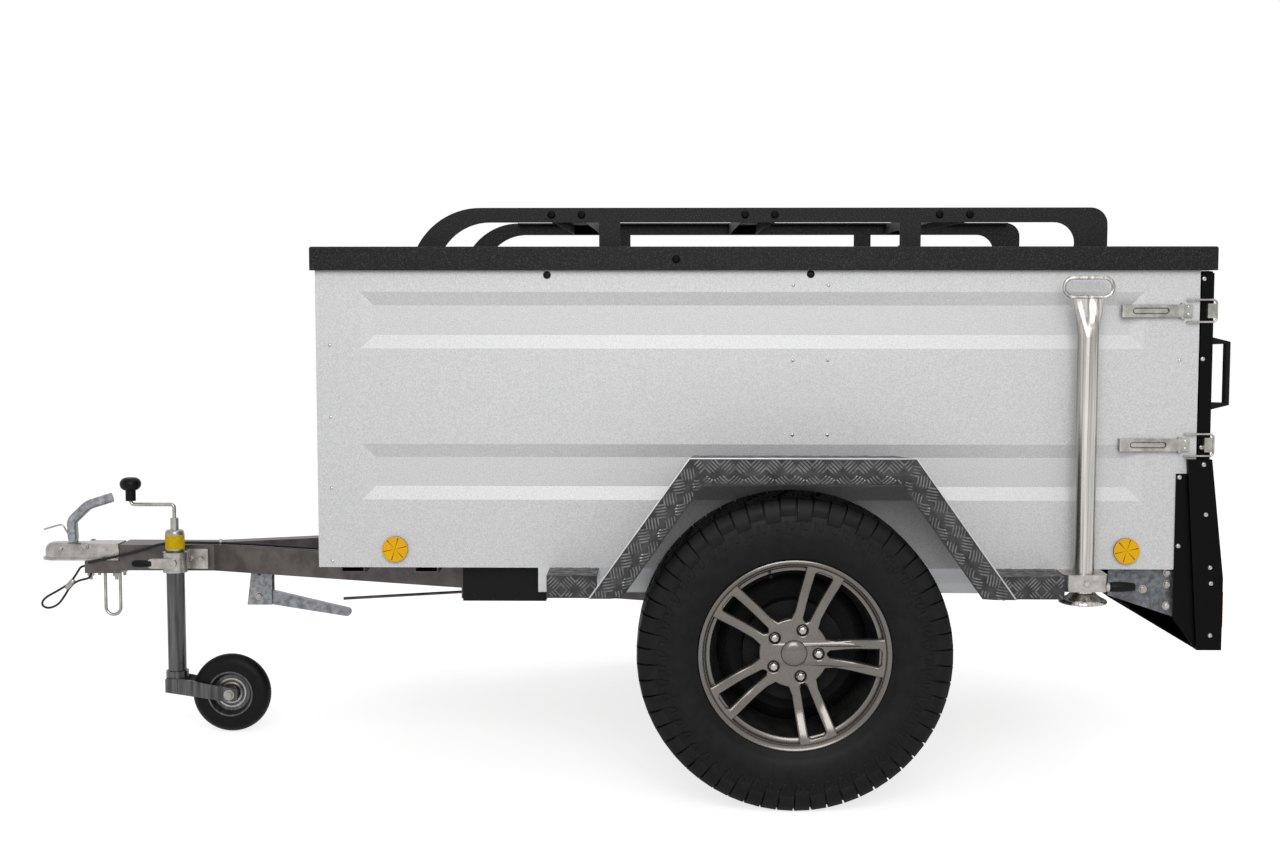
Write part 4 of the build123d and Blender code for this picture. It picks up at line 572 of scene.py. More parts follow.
def sidewall_ribs(bm, wheel_y, flank, number):
    """Slanted biting ribs under the shoulder lugs."""
    pitch = 2 * math.pi / number
    for i in range(number):
        start = i * pitch
        lean = pitch * RIB_LEANS[i % 2]
        reach = RIB_REACH[i % len(RIB_REACH)]
        low = from_edge(zip(RIB_FOOT, (RIB_TOP, reach)), flank)
        high = from_edge(zip(RIB_CREST, (RIB_TOP, reach - RIB_TIP_RISE)), flank)
        spans = [(start, start + RIB_SHARE * pitch), (start + lean, start + lean + RIB_SHARE * pitch)]
        lug(bm, wheel_y, spans, low, high)


def centre_blocks(bm, wheel_y, number, depth):
    """Three rows of leaning blocks on the crown."""
    pitch = 2 * math.pi / number
    for row, (inner, outer) in enumerate(CENTRE_ROWS):
        for i in range(number):
            start = (i + row / len(CENTRE_ROWS)) * pitch
            lean = pitch * (CENTRE_LEAN if i % 2 else -CENTRE_LEAN)
            reach = CENTRE_SHARE * pitch
            spans = [(start, start + reach), (start + lean, start + lean + reach)]
            low, high = (from_edge(((inner, drop), (outer, drop))) for drop in (depth, 0))
            lug(bm, wheel_y, spans, low, high)


class TRAILER_OT_tyres(bpy.types.Operator):
    """Adds the off-road tyres with their tread, shoulder lugs and sidewall ribs"""

    bl_idname = "trailer.tyres"
    bl_label = "Tyres"

    def execute(self, context):
        sizes = context.scene.trailer_tyre
        carcass = from_edge(CARCASS_HALF) + from_edge(CARCASS_HALF, -1)[::-1]
        for side, sign in SIDES:
            wheel_y = sign * WHEEL_OUT
            bm = bmesh.new()
            wheel_ring(bm, wheel_y, carcass, TYRE_STEPS)
            for flank in SIGNS:
                shoulder_lugs(bm, wheel_y, flank, sizes.lugs)
                sidewall_ribs(bm, wheel_y, flank, sizes.ribs)
            centre_blocks(bm, wheel_y, sizes.lugs, sizes.depth)
            tyre = make_piece(f"tyre_tread_{side}", bm, "rubber", f"wheel_{side}")
            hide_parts(f"tyre_{side}")
        return {"FINISHED"}


SPOKE_PAIRS = 5
SPOKE_TURN = math.radians(-2)
SPOKE_ROOT = (0.094, 0.0315)
SPOKE_TIP = (0.2115, 0.0455)
SLOT_ROOT = (0.076, 0.0080)
SLOT_TIP = (0.197, 0.0205)
SLOT_CORNER = 0.006
VALLEY_R = 0.080
VALLEY_SPREAD = (-0.2, -0.1, 0, 0.1, 0.2)
BOLT_CIRCLE = 0.056
BOLT_HOLE = 0.0125
HOLE_STEPS = 20
FACE_OUT = 0.062
FACE_DEPTH = 0.024
FACE_EDGE = 0.0045
DISH_START = 0.12
DISH_REACH = 0.088
DISH_RISE = 0.026
DISH_CUTS = range(12, 21)
DISH_STEP = 0.01
VALVE_ANGLE = math.radians(107)
VALVE_PLACE = (0.05, 0.187)
BOLT_SINK = 0.012
MERGE = 1e-6
LIP_STEPS = 128
BARREL_STEPS = 96


def pair_angle(pair):
    """The direction of a spoke pair round the axle."""
    return SPOKE_TURN + pair * 2 * math.pi / SPOKE_PAIRS


def arm_point(pair, along, across):
    """A point of the rim's face: along a spoke pair's own axis and across it."""
    angle = pair_angle(pair)
    return (
        along * math.cos(angle) - across * math.sin(angle),
        along * math.sin(angle) + across * math.cos(angle),
    )


def face_outlines():
    """The rim face's outline, its slots between twin spokes and its bolt holes, as closed rows of points."""
    tip_along = math.sqrt(SPOKE_TIP[0] ** 2 - SPOKE_TIP[1] ** 2)
    outer = []
    holes = []
    for pair in range(SPOKE_PAIRS):
        outer.append(arm_point(pair, SPOKE_ROOT[0], -SPOKE_ROOT[1]))
        outer.append(arm_point(pair, tip_along, -SPOKE_TIP[1]))
        outer.append(arm_point(pair, SPOKE_TIP[0], 0))
        outer.append(arm_point(pair, tip_along, SPOKE_TIP[1]))
        outer.append(arm_point(pair, SPOKE_ROOT[0], SPOKE_ROOT[1]))
        for spread in VALLEY_SPREAD:
            angle = pair_angle(pair + 0.5) + spread
            outer.append((VALLEY_R * math.cos(angle), VALLEY_R * math.sin(angle)))
        slot = []
        for (along, half), inward in ((SLOT_ROOT, 1), (SLOT_TIP, -1)):
            ends = [(along + inward * SLOT_CORNER, half), (along, half - SLOT_CORNER)]
            row = ends + [(a, -b) for a, b in reversed(ends)]
            slot += row if inward > 0 else row[::-1]
        holes.append([arm_point(pair, *p) for p in slot])
        holes.append([arm_point(pair, BOLT_CIRCLE + u, v) for u, v in circle(BOLT_HOLE, HOLE_STEPS)])
    return [outer] + holes


def rim_face(wheel_y):
    """The cast face of a rim: an outline with round edges, dished out towards the lip."""
    face = bpy.data.curves.new("rim_face", "CURVE")
    face.dimensions = "2D"
    face.fill_mode = "BOTH"
    face.extrude = FACE_DEPTH / 2 - FACE_EDGE
    face.bevel_depth = FACE_EDGE
    face.bevel_resolution = 2
    face.offset = -FACE_EDGE
    for outline in face_outlines():
        spline = face.splines.new("POLY")
        spline.points.add(len(outline) - 1)
        for point, (u, v) in zip(spline.points, outline):
            point.co = (u, v, 0, 1)
        spline.use_cyclic_u = True
    holder = bpy.data.objects.new("rim_face", face)
    bm = bmesh.new()
    bm.from_mesh(bpy.data.meshes.new_from_object(holder))
    bpy.data.objects.remove(holder)
    bmesh.ops.remove_doubles(bm, verts=bm.verts, dist=MERGE)
    for pair in range(SPOKE_PAIRS):
        ahead = Vector((math.cos(pair_angle(pair)), math.sin(pair_angle(pair)), 0))
        for cut in DISH_CUTS:
            arm = [f for f in bm.faces if f.calc_center_median().dot(ahead) > SPOKE_ROOT[0]]
            arm += list({e for f in arm for e in f.edges}) + list({v for f in arm for v in f.verts})
            bmesh.ops.bisect_plane(bm, geom=arm, plane_co=ahead * cut * DISH_STEP, plane_no=ahead)
    for vert in bm.verts:
        reach = vert.co.xy.length
        lift = vert.co.z + DISH_RISE * eased((reach - DISH_START) / DISH_REACH) - FACE_DEPTH / 2
        vert.co = wheel_point(wheel_y, math.atan2(vert.co.y, vert.co.x), FACE_OUT + lift, reach)
    return bm


# Lip and barrel of a rim, closed loops of (along, radius)
RIM_LIP = (
    (0.0973, 0.219),
    (0.0985, 0.2165),
    (0.096, 0.211),
    (0.089, 0.2065),
    (0.080, 0.2035),
    (0.0745, 0.1985),
    (0.0735, 0.1935),
    (0.0725, 0.2056),
    (0.0885, 0.2056),
    (0.0885, 0.219),
)
RIM_BARREL = (
    (0.0730, 0.1935),
    (0.066, 0.1905),
    (0.050, 0.1885),
    (0.028, 0.1775),
    (-0.028, 0.1755),
    (-0.05, 0.195),
    (-0.0973, 0.2),
    (-0.0973, 0.219),
    (-0.0885, 0.219),
    (-0.0885, 0.2056),
    (0.0725, 0.2056),
)
BOLT_SEAT = ((0, 0), (0.0118, 0), (0.0118, 0.003), (0.0095, 0.006), (0, 0.006))
BOLT_HEAD = ((0, 0.006), (0.0098, 0.006), (0.0098, 0.014), (0.0082, 0.017), (0.004, 0.0185), (0, 0.0188))
CAP = ((0, -0.004), (0.031, -0.004), (0.0305, 0.001), (0.028, 0.0045), (0.018, 0.0075), (0, 0.0088))
VALVE = ((0, 0), (0.006, 0), (0.0055, 0.01), (0.004, 0.012), (0.004, 0.03), (0, 0.031))


class TRAILER_OT_rims(bpy.types.Operator):
    """Adds the twin-spoke rims with their bolts, caps and valves"""

    bl_idname = "trailer.rims"
    bl_label = "Rims"

    def execute(self, context):
        for side, sign in SIDES:
            wheel_y = sign * WHEEL_OUT
            body = f"wheel_{side}"
            out = (0, sign, 0)
            bm = rim_face(wheel_y)
            wheel_ring(bm, wheel_y, RIM_LIP, LIP_STEPS)
            rim = make_piece(f"rim_cast_{side}", bm, "rim", body, smooth_angle=40)
            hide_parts(f"rim_{side}")

            # The barrel, near black: painted shade inside the wheel behind the spokes
            bm = bmesh.new()
            wheel_ring(bm, wheel_y, RIM_BARREL, BARREL_STEPS)
            make_piece(f"rim_barrel_{side}", bm, "barrel", body)

            bm = bmesh.new()
            for pair in range(SPOKE_PAIRS):
                seat = wheel_point(wheel_y, pair_angle(pair), FACE_OUT - BOLT_SINK, BOLT_CIRCLE)
                turned(bm, seat, out, BOLT_SEAT, steps=24)
                turned(bm, seat, out, BOLT_HEAD, steps=6, turn=pair_angle(pair))
            make_piece(f"wheel_bolts_{side}", bm, "zinc", body, smooth_angle=25)

            bm = bmesh.new()
            turned(bm, (AXLE.x, wheel_y + sign * FACE_OUT, AXLE.z), out, CAP, steps=48)
            make_piece(f"wheel_cap_{side}", bm, "rim", body, smooth_angle=50)

            bm = bmesh.new()
            turned(bm, wheel_point(wheel_y, VALVE_ANGLE, *VALVE_PLACE), out, VALVE, steps=12)
            make_piece(f"tyre_valve_{side}", bm, "solid_rubber", body)
        return {"FINISHED"}


# Checker plate


def inside(point, outline):
    """Whether a point lies in a flat outline."""
    found = False
    for (ax, ay), (bx, by) in zip(outline, outline[1:] + outline[:1]):
        if (ay > point[1]) != (by > point[1]) and point[0] < (bx - ax) * (point[1] - ay) / (by - ay) + ax:
            found = not found
    return found


BAR_STOPS = (-0.44, -0.3, -0.15, 0, 0.15, 0.3, 0.44)
BAR_SPACING = 0.2
BAR_HALF = 0.062
BAR_TAPER = 0.16
BAR_CREST = 0.28
BAR_ROW = range(-2, 3)


def tread_bar(bm, start, stop, half, lay, rise):
    """One raised bar with pointed ends on a flat face; lay turns its flat points into places."""
    inset = (stop - start) * BAR_TAPER
    base = (start, start + inset - half, stop - inset - half, stop, stop - inset + half, start + inset + half)
    crest = [p + ((start + stop) / 2 - p) * BAR_CREST for p in base]
    feet = [bm.verts.new(lay(p)) for p in base]
    tops = [bm.verts.new(lay(p) + rise) for p in crest]
    bm.faces.new(feet[::-1])
    bm.faces.new(tops)
    skin(bm, [feet, tops])


def tread_bars(bm, origin, along, across, outline, outward, sizes):
    """Raised five-bar groups on a flat face: outline is in metres along and across from origin."""
    origin, along, across = Vector(origin), Vector(along).normalized(), Vector(across).normalized()
    up = along.cross(across)
    if up.dot(Vector(outward)) < 0:
        up = -up
    cell = sizes.cell
    columns = [math.floor(p[0] / cell) for p in outline]
    rows = [math.floor(p[1] / cell) for p in outline]

    def lay(point):
        return origin + along * point.x + across * point.y

    for i in range(min(columns), max(columns) + 1):
        for j in range(min(rows), max(rows) + 1):
            lean = math.pi / 4 if (i + j) % 2 else -math.pi / 4
            run = Vector((math.cos(lean), math.sin(lean))) * cell
            side = Vector((-run.y, run.x))
            for bar in BAR_ROW:
                centre = Vector(((i + 0.5) * cell, (j + 0.5) * cell)) + side * bar * BAR_SPACING
                ends = [t for t in BAR_STOPS if inside(centre + run * t, outline)]
                if len(ends) > len(BAR_STOPS) / 2:
                    start, stop = (centre + run * end for end in (ends[0], ends[-1]))
                    tread_bar(bm, start, stop, side * BAR_HALF, lay, up * sizes.height)


FENDER_MID = (FENDER_LOW.x + FENDER_HIGH.x) / 2
FENDER_TOP_INSET = 0.108
FENDER_TOP_HALF = TYRE_R - FENDER_TOP_INSET
FENDER_FOOT_HALF = (FENDER_HIGH.x - FENDER_LOW.x) / 2
FENDER_SLOPE = (FENDER_FOOT_HALF - FENDER_TOP_HALF) / (FENDER_HIGH.z - FENDER_LOW.z)
FENDER_SLANT = math.sqrt(1 + FENDER_SLOPE ** 2)
FENDER_LIP = 0.037
FENDER_TURN = 0.060
FENDER_TURN_BACK = 0.0105
FENDER_FLARE = 0.022
BOARD_GAP = 0.006


def fender_corners(y, inset):
    """Corners of the fender's outline at y, drawn in by inset: front foot, front top, rear top, rear foot."""
    half = FENDER_TOP_HALF + FENDER_SLOPE * inset - inset * FENDER_SLANT
    toe = FENDER_FOOT_HALF - inset * FENDER_SLANT
    top = FENDER_HIGH.z - inset
    places = ((-toe, FENDER_LOW.z), (-half, top), (half, top), (toe, FENDER_LOW.z))
    return [Vector((FENDER_MID + x, y, z)) for x, z in places]


class TRAILER_OT_fenders(bpy.types.Operator):
    """Adds the raised bars of the fenders, and their fold painted bright silver as a painted highlight"""

    bl_idname = "trailer.fenders"
    bl_label = "Fenders"

    def execute(self, context):
        sizes = context.scene.trailer_plate
        out = -FENDER_LOW.y
        for side, sign in SIDES:
            outward = Vector((0, sign, 0))
            edge = fender_corners(sign * out, 0)
            lip = fender_corners(sign * out, FENDER_LIP)
            turn = fender_corners(sign * (out - FENDER_TURN_BACK), FENDER_TURN)
            wall = fender_corners(sign * WALL_OUT, FENDER_FLARE)
            bm = bmesh.new()
            # Strips between two outlines, with the way that their bars stand up
            above = (Vector((-1, 0, 0)), Vector((0, 0, 1)), Vector((1, 0, 0)))
            strips = ((edge, lip, (outward,) * 3), (lip, turn, (outward,) * 3), (edge, wall, above))
            for near, far, ways in strips:
                for i, way in enumerate(ways):
                    run = (near[i + 1] - near[i]).normalized()
                    fall = far[i] - near[i]
                    fall = (fall - run * fall.dot(run)).normalized()
                    corners = (near[i], near[i + 1], far[i + 1], far[i])
                    outline = [((p - near[i]).dot(run), (p - near[i]).dot(fall)) for p in corners]
                    tread_bars(bm, near[i], run, fall, outline, way, sizes)
            make_piece(f"fender_bars_{side}", bm, "bars", "chassis", smooth_angle=20)
            # The fold is a round rod along the fender's edge in bright mill aluminium: a painted highlight
            # along the fold
            fold = f"fender_fold_highlight_{side}"
            rod_piece(fold, edge, sizes.fold, "sill", "chassis", kind="POLY")
        return {"FINISHED"}


class TRAILER_OT_boards(bpy.types.Operator):
    """Adds the raised bars on the running boards"""

    bl_idname = "trailer.boards"
    bl_label = "Running boards"

    def execute(self, context):
        sizes = context.scene.trailer_plate
        toe = FENDER_FOOT_HALF - (FLOOR_Z - FENDER_LOW.z) * FENDER_SLOPE
        clear = toe + BOARD_GAP
        runs = ((BOARD_LOW.x, FENDER_MID - clear), (FENDER_MID + clear, BOARD_HIGH.x))
        width = BOARD_HIGH.y - WALL_OUT
        lip = BOARD_HIGH.z - BOARD_LOW.z
        for side, sign in SIDES:
            bm = bmesh.new()
            for start, stop in runs:
                corner = (start, sign * BOARD_HIGH.y, BOARD_HIGH.z)
                faces = (((0, -sign, 0), width, (0, 0, 1)), ((0, 0, -1), lip, (0, sign, 0)))
                for across, reach, way in faces:
                    outline = [(0, 0), (stop - start, 0), (stop - start, reach), (0, reach)]
                    tread_bars(bm, corner, (1, 0, 0), across, outline, way, sizes)
            make_piece(f"board_bars_{side}", bm, "bars", "chassis", smooth_angle=20)
        return {"FINISHED"}


# Small fasteners: places along the trailer and up, in metres from the axle and from the ground
WALL_RIVET_ROWS = (
    (-1.095, (1.055, 0.883, 0.712, 0.535)),
    (0.007, (1.197, 1.020, 0.842)),
    (0.090, (1.197, 1.020, 0.842)),
    (0.920, (1.020,)),
)
WALL_RIVETS = [(x, z) for x, heights in WALL_RIVET_ROWS for z in heights]
WALL_PLUGS = ((-0.576, 1.221), (0.048, 1.223))
GATE_SCREWS = ((0.974, 1.212), (0.975, 1.023), (0.977, 0.813))
RACK_BOLTS = (-0.568, -0.496, -0.106, -0.035, 0.356, 0.428)
RACK_BOLT_DROP = 0.0165
SKIRT_BOLT = (-0.270, 1.258)
CHEEK_SCREWS = ((0.978, 0.774), (0.986, 0.655), (0.999, 0.528), (1.002, 0.490), (1.003, 0.365))
FLANGE_SCREWS = ((0.925, 0.7425), (0.926, 0.578))
FLANGE_DROP = 0.012
GUSSET_BOLTS = ((0.850, 0.470), (0.908, 0.510), (0.908, 0.482), (0.908, 0.430))


class TRAILER_OT_fasteners(bpy.types.Operator):
    """Adds the rivets, plugs, screws and bolts of the box, the rack and the rear corner"""

    bl_idname = "trailer.fasteners"
    bl_label = "Fasteners"

    def execute(self, context):
        sizes = context.scene.trailer_screw
        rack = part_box("rack_rail_right")[1]
        gusset_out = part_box("gussets")[1].y
        rack_places = [(x, rack.z - RACK_BOLT_DROP) for x in RACK_BOLTS]
        # Kinds: head, radius, finish
        rivet = ("dome", sizes.rivet, "screw")
        plug = ("dome", sizes.plug, "plastic")
        screw = ("button", sizes.button, "screw")
        rack_bolt = ("button", sizes.rack_bolt, "satin_black")
        plate_bolt = ("hexagon", sizes.hexagon, "zinc")
        # Groups: name, kind, body, slot, distance from the middle, places
        groups = (
            ("wall_rivets", rivet, "chassis", "box_aluminium", WALL_OUT, WALL_RIVETS),
            ("wall_plugs", plug, "chassis", "black_plastic", WALL_OUT, WALL_PLUGS),
            ("cheek_screws", screw, "chassis", "bright_zinc", CHEEK_OUT, CHEEK_SCREWS),
            ("flange_screws", screw, "chassis", "bright_zinc", CHEEK_OUT - FLANGE_DROP, FLANGE_SCREWS),
            ("tailgate_screws", screw, "tailgate", "bright_zinc", GATE_OUT, GATE_SCREWS),
            ("gusset_bolts", plate_bolt, "chassis", "bright_zinc", gusset_out, GUSSET_BOLTS),
            ("rack_bolts", rack_bolt, "lid", "rack_coat", rack.y, rack_places),
            ("skirt_bolts", rack_bolt, "lid", "rack_coat", LID_OUT, [SKIRT_BOLT]),
        )
        for name, (kind, radius, finish), body, slot, out, places in groups:
            bm = bmesh.new()
            for sign in SIGNS:
                for x, z in places:
                    head(bm, kind, from_axle((x, sign * out, z)), (0, sign, 0), radius)
            make_piece(name, bm, finish, body)
        return {"FINISHED"}


OVAL_STEPS = 14


def oval(centre, half, bend):
    """Points round an upright oval along the trailer: two half circles joined by straight runs."""
    points = []
    for end, first in ((1, -90), (-1, 90)):
        for step in range(OVAL_STEPS + 1):
            angle = math.radians(first + 180 * step / OVAL_STEPS)
            x = end * half + bend * math.cos(angle)
            points.append((centre[0] + x, centre[1], centre[2] + bend * math.sin(angle)))
    return points


# Brake dust shields: how far the shield lies behind the end of the stub axle, and its dished rim as a loop
SHIELD_BACK = 0.062
SHIELD_RIM = (
    (0.140, -0.0005),
    (0.150, -0.0005),
    (0.185, -0.0235),
    (0.187, -0.0255),
    (0.184, -0.0270),
    (0.149, -0.0035),
    (0.140, -0.0035),
)


class TRAILER_OT_brakes(bpy.types.Operator):
    """Adds the dished rims of the brake dust shields"""

    bl_idname = "trailer.brakes"
    bl_label = "Brake dust shields"

    def execute(self, context):
        shield_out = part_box("swing_arms")[1].y - SHIELD_BACK
        bm = bmesh.new()
        for sign in SIGNS:
            turned(bm, (AXLE.x, sign * shield_out, AXLE.z), (0, sign, 0), SHIELD_RIM, steps=72, closed=True)
        make_piece("brake_shield_rims", bm, "iron", "chassis")
        return {"FINISHED"}


# Tailgate seal: a rubber strip on the tailgate's top edge
SEAL_HIGH = 0.0048
SEAL_EDGE = 0.004
SEAL_SHOULDER = 0.7


class TRAILER_OT_seal(bpy.types.Operator):
    """Adds the rubber strip that closes the gap between the tailgate and the lid"""

    bl_idname = "trailer.seal"
    bl_label = "Tailgate seal"

    def execute(self, context):
        low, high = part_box("tailgate_panel")
        front, rear = low.x + SEAL_EDGE, high.x - SEAL_EDGE / 2
        crown = (front + rear) / 2
        shoulder = SEAL_HIGH * SEAL_SHOULDER
        profile = ((front, 0), (front, shoulder), (crown, SEAL_HIGH), (rear, shoulder), (rear, 0))
        outline = [(x, low.y + SEAL_EDGE, high.z + rise) for x, rise in profile]
        bm = bmesh.new()
        plate(bm, outline, (0, high.y - low.y - 2 * SEAL_EDGE, 0))
        make_piece("tailgate_seal", bm, "solid_rubber", "tailgate", bevel=0.001)
        return {"FINISHED"}


LATCH_HEIGHTS = (0.820, 1.137)
LATCH_PIVOT = 0.921
LATCH_PIN_R = 0.0048
LATCH_PIN_HALF = 0.0185
LATCH_RIVET_X = 0.936
LATCH_RIVET_RISE = 0.0085
LATCH_RIVET_R = 0.0042
LATCH_BASE_OUT = 0.007
LATCH_LEVER_OUT = 0.013
LATCH_WINDOW = 0.847
LATCH_WINDOW_HALF = 0.0355
LATCH_WINDOW_BEND = 0.0065
# Radius of the dark rings that paint the shade round the lever windows
LATCH_WINDOW_SHADE_R = 0.0012


class TRAILER_OT_latches(bpy.types.Operator):
    """Adds the pivot pins and the rivets of the toggle latches, and dark rings of painted shade round the
    lever windows
    """

    bl_idname = "trailer.latches"
    bl_label = "Toggle latches"

    def execute(self, context):
        bm, edges = bmesh.new(), bmesh.new()
        half = LATCH_PIN_HALF
        pin = ((0, -half), (LATCH_PIN_R, -half), (LATCH_PIN_R, half), (0, half))
        for sign in SIGNS:
            lever_y = WALL_OUT + LATCH_LEVER_OUT
            for z in LATCH_HEIGHTS:
                pivot = from_axle((LATCH_PIVOT, sign * (lever_y - LATCH_PIN_R), z))
                turned(bm, pivot, (0, 0, 1), pin, steps=20)
                for rise in (-LATCH_RIVET_RISE, LATCH_RIVET_RISE):
                    seat = from_axle((LATCH_RIVET_X, sign * (WALL_OUT + LATCH_BASE_OUT), z + rise))
                    head(bm, "dome", seat, (0, sign, 0), LATCH_RIVET_R)
                # Dark steel rings round each lever window are painted shade at its recessed edge
                window = from_axle((LATCH_WINDOW, sign * lever_y, z))
                hoop(edges, oval(window, LATCH_WINDOW_HALF, LATCH_WINDOW_BEND), LATCH_WINDOW_SHADE_R, steps=8)
        make_piece("latch_pins", bm, "screw", "chassis")
        make_piece("latch_window_shade_rings", edges, "grey_tube", "chassis")
        return {"FINISHED"}


SECTORS = 6
SECTOR_TURN = 13
SECTOR_GAP = 2.6
SECTOR_STEPS = 8
LENS_SHARE = 0.93
LENS_RISE = 0.0016
RIM_RISE = 0.0022


class TRAILER_OT_reflectors(bpy.types.Operator):
    """Adds the prism sectors and the rims of the amber side reflectors"""

    bl_idname = "trailer.reflectors"
    bl_label = "Side reflectors"

    def execute(self, context):
        low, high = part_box("side_reflectors")
        radius = (high.z - low.z) / 2
        lens = radius * LENS_SHARE
        centre_z = (low.z + high.z) / 2
        prisms, rims = bmesh.new(), bmesh.new()
        width = 360 / SECTORS - 2 * SECTOR_GAP
        for sign in SIGNS:
            for x in (low.x + radius, high.x - radius):
                centre = Vector((x, sign * high.y, centre_z))
                for sector in range(SECTORS):
                    first = SECTOR_TURN + SECTOR_GAP + sector * 360 / SECTORS
                    outline = [centre]
                    for step in range(SECTOR_STEPS + 1):
                        angle = math.radians(first + width * step / SECTOR_STEPS)
                        outline.append(centre + lens * Vector((math.cos(angle), 0, math.sin(angle))))
                    plate(prisms, outline, (0, sign * LENS_RISE, 0))
                ring = ring_loop(lens, radius, 0, RIM_RISE)
                turned(rims, centre, (0, sign, 0), ring, steps=40, closed=True)
        make_piece("reflector_prisms", prisms, "amber", "chassis", bevel=0.0004)
        make_piece("reflector_rims", rims, "amber", "chassis")
        return {"FINISHED"}


LAMP_OUT = 0.440
LAMP_HALF = (0.089, 0.044)
LAMP_RISE = 0.003
LAMP_AMBER_SHARE = 1 / 3
LAMP_GAP = 0.0015


class TRAILER_OT_lamps(bpy.types.Operator):
    """Adds the raised lens fields of the rear lamps"""

    bl_idname = "trailer.lamps"
    bl_label = "Rear lamps"

    def execute(self, context):
        low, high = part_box("rear_lamps")
        centre_z = (low.z + high.z) / 2
        amber, red = bmesh.new(), bmesh.new()
        half, rise = LAMP_HALF
        split = half - 2 * half * LAMP_AMBER_SHARE
        for sign in SIGNS:
            for bm, inner, outer in ((amber, split + LAMP_GAP, half), (red, -half, split - LAMP_GAP)):
                corners = ((inner, -rise), (outer, -rise), (outer, rise), (inner, rise))
                outline = [(high.x, sign * (LAMP_OUT + y), centre_z + z) for y, z in corners]
                plate(bm, outline, (LAMP_RISE, 0, 0))
        make_piece("lamp_amber_fields", amber, "amber", "chassis", bevel=0.002)
        make_piece("lamp_red_fields", red, "red", "chassis", bevel=0.002)
        return {"FINISHED"}


# Coupling: places in metres from the axle
COUPLING_HALF = 0.036
COUPLING_RIVET = (-1.9457, 0.4806)
COUPLING_BOLT = (-1.877, 0.489)
NOSE_BOLTS = (-1.862, -1.792)
NOSE_BOLT_OUT = 0.036
NOSE_NUT = ((0, 0), (0.0095, 0), (0.0095, 0.0085), (0.0078, 0.0098), (0, 0.0098))
NOSE_STUD = ((0, 0.009), (0.0046, 0.009), (0.0046, 0.0185), (0.0036, 0.0195), (0, 0.0195))
INDICATOR_WIRE = (
    (-2.000, 0, 0.5298),
    (-1.970, 0, 0.539),
    (-1.948, 0, 0.5446),
    (-1.938, 0, 0.522),
    (-1.924, 0, 0.503),
)
INDICATOR_R = 0.0024


class TRAILER_OT_coupling(bpy.types.Operator):
    """Adds the bolts, the rivets and the indicator wire of the coupling"""

    bl_idname = "trailer.coupling"
    bl_label = "Coupling"

    def execute(self, context):
        radius = context.scene.trailer_screw.hexagon
        block_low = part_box("nose_block")[0].z
        bm = bmesh.new()
        for sign in SIGNS:
            for kind, (x, z) in (("dome", COUPLING_RIVET), ("hexagon", COUPLING_BOLT)):
                head(bm, kind, from_axle((x, sign * COUPLING_HALF, z)), (0, sign, 0), radius)
            for x in NOSE_BOLTS:
                seat = from_axle((x, sign * NOSE_BOLT_OUT, block_low))
                turned(bm, seat, (0, 0, -1), NOSE_NUT, steps=6)
                turned(bm, seat, (0, 0, -1), NOSE_STUD, steps=16)
        make_piece("coupling_bolts", bm, "zinc", "chassis", smooth_angle=25)
        wire = [from_axle(place) for place in INDICATOR_WIRE]
        rod_piece("coupling_wire", wire, INDICATOR_R, "zinc", "chassis")
        return {"FINISHED"}


# Cables: control points of the route in metres from the axle
SAFETY_ROUTE = (
    (-1.874, -0.044, 0.436),
    (-1.886, -0.044, 0.436),
    (-1.896, -0.050, 0.416),
    (-1.914, -0.054, 0.390),
    (-1.948, -0.055, 0.369),
    (-1.984, -0.055, 0.350),
    (-1.994, -0.056, 0.331),
    (-1.975, -0.057, 0.320),
    (-1.946, -0.058, 0.331),
    (-1.926, -0.060, 0.358),
    (-1.910, -0.061, 0.385),
    (-1.888, -0.056, 0.399),
    (-1.858, -0.046, 0.403),
    (-1.858, -0.046, 0.417),
)
SAFETY_R = 0.003
FERRULE_PLACE = (-1.912, -0.0575, 0.3875)
FERRULE_LEAN = (0.62, 0, 0.78)
FERRULE_HALF = ((0.0082, 0), (0.0078, 0.013), (0.0058, 0.016), (0, 0.016))
FERRULE = [(radius, -rise) for radius, rise in FERRULE_HALF[:0:-1]] + list(FERRULE_HALF)
TIE_PLACE = (-1.504, -0.038, 0.499)
TIE_AXIS = (1, 0.03, 0)
TIE_R = (0.0036, 0.0052)
TIE_HALF = 0.0025
TIE_HEAD = ((0, 0), (0.0042, 0), (0.0042, 0.006), (0, 0.006))


class TRAILER_OT_cables(bpy.types.Operator):
    """Adds the safety cable with its ferrule, and the cable tie on the lighting lead"""

    bl_idname = "trailer.cables"
    bl_label = "Cables"

    def execute(self, context):
        route = [from_axle(place) for place in SAFETY_ROUTE]
        cable = rod_piece("safety_cable_rope", route, SAFETY_R, "jacket", "chassis")
        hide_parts("safety_cable")
        bm = bmesh.new()
        turned(bm, from_axle(FERRULE_PLACE), FERRULE_LEAN, FERRULE, steps=20)
        ferrule = make_piece("safety_ferrule", bm, "zinc", "chassis")
        bm = bmesh.new()
        tie = Vector(from_axle(TIE_PLACE))
        turned(bm, tie, TIE_AXIS, ring_loop(*TIE_R, -TIE_HALF, TIE_HALF), steps=24, closed=True)
        turned(bm, tie + Vector((0, 0, TIE_R[1])), (0, 0, 1), TIE_HEAD, steps=4, turn=math.pi / 4)
        make_piece("lead_tie", bm, "nylon", "chassis")
        return {"FINISHED"}


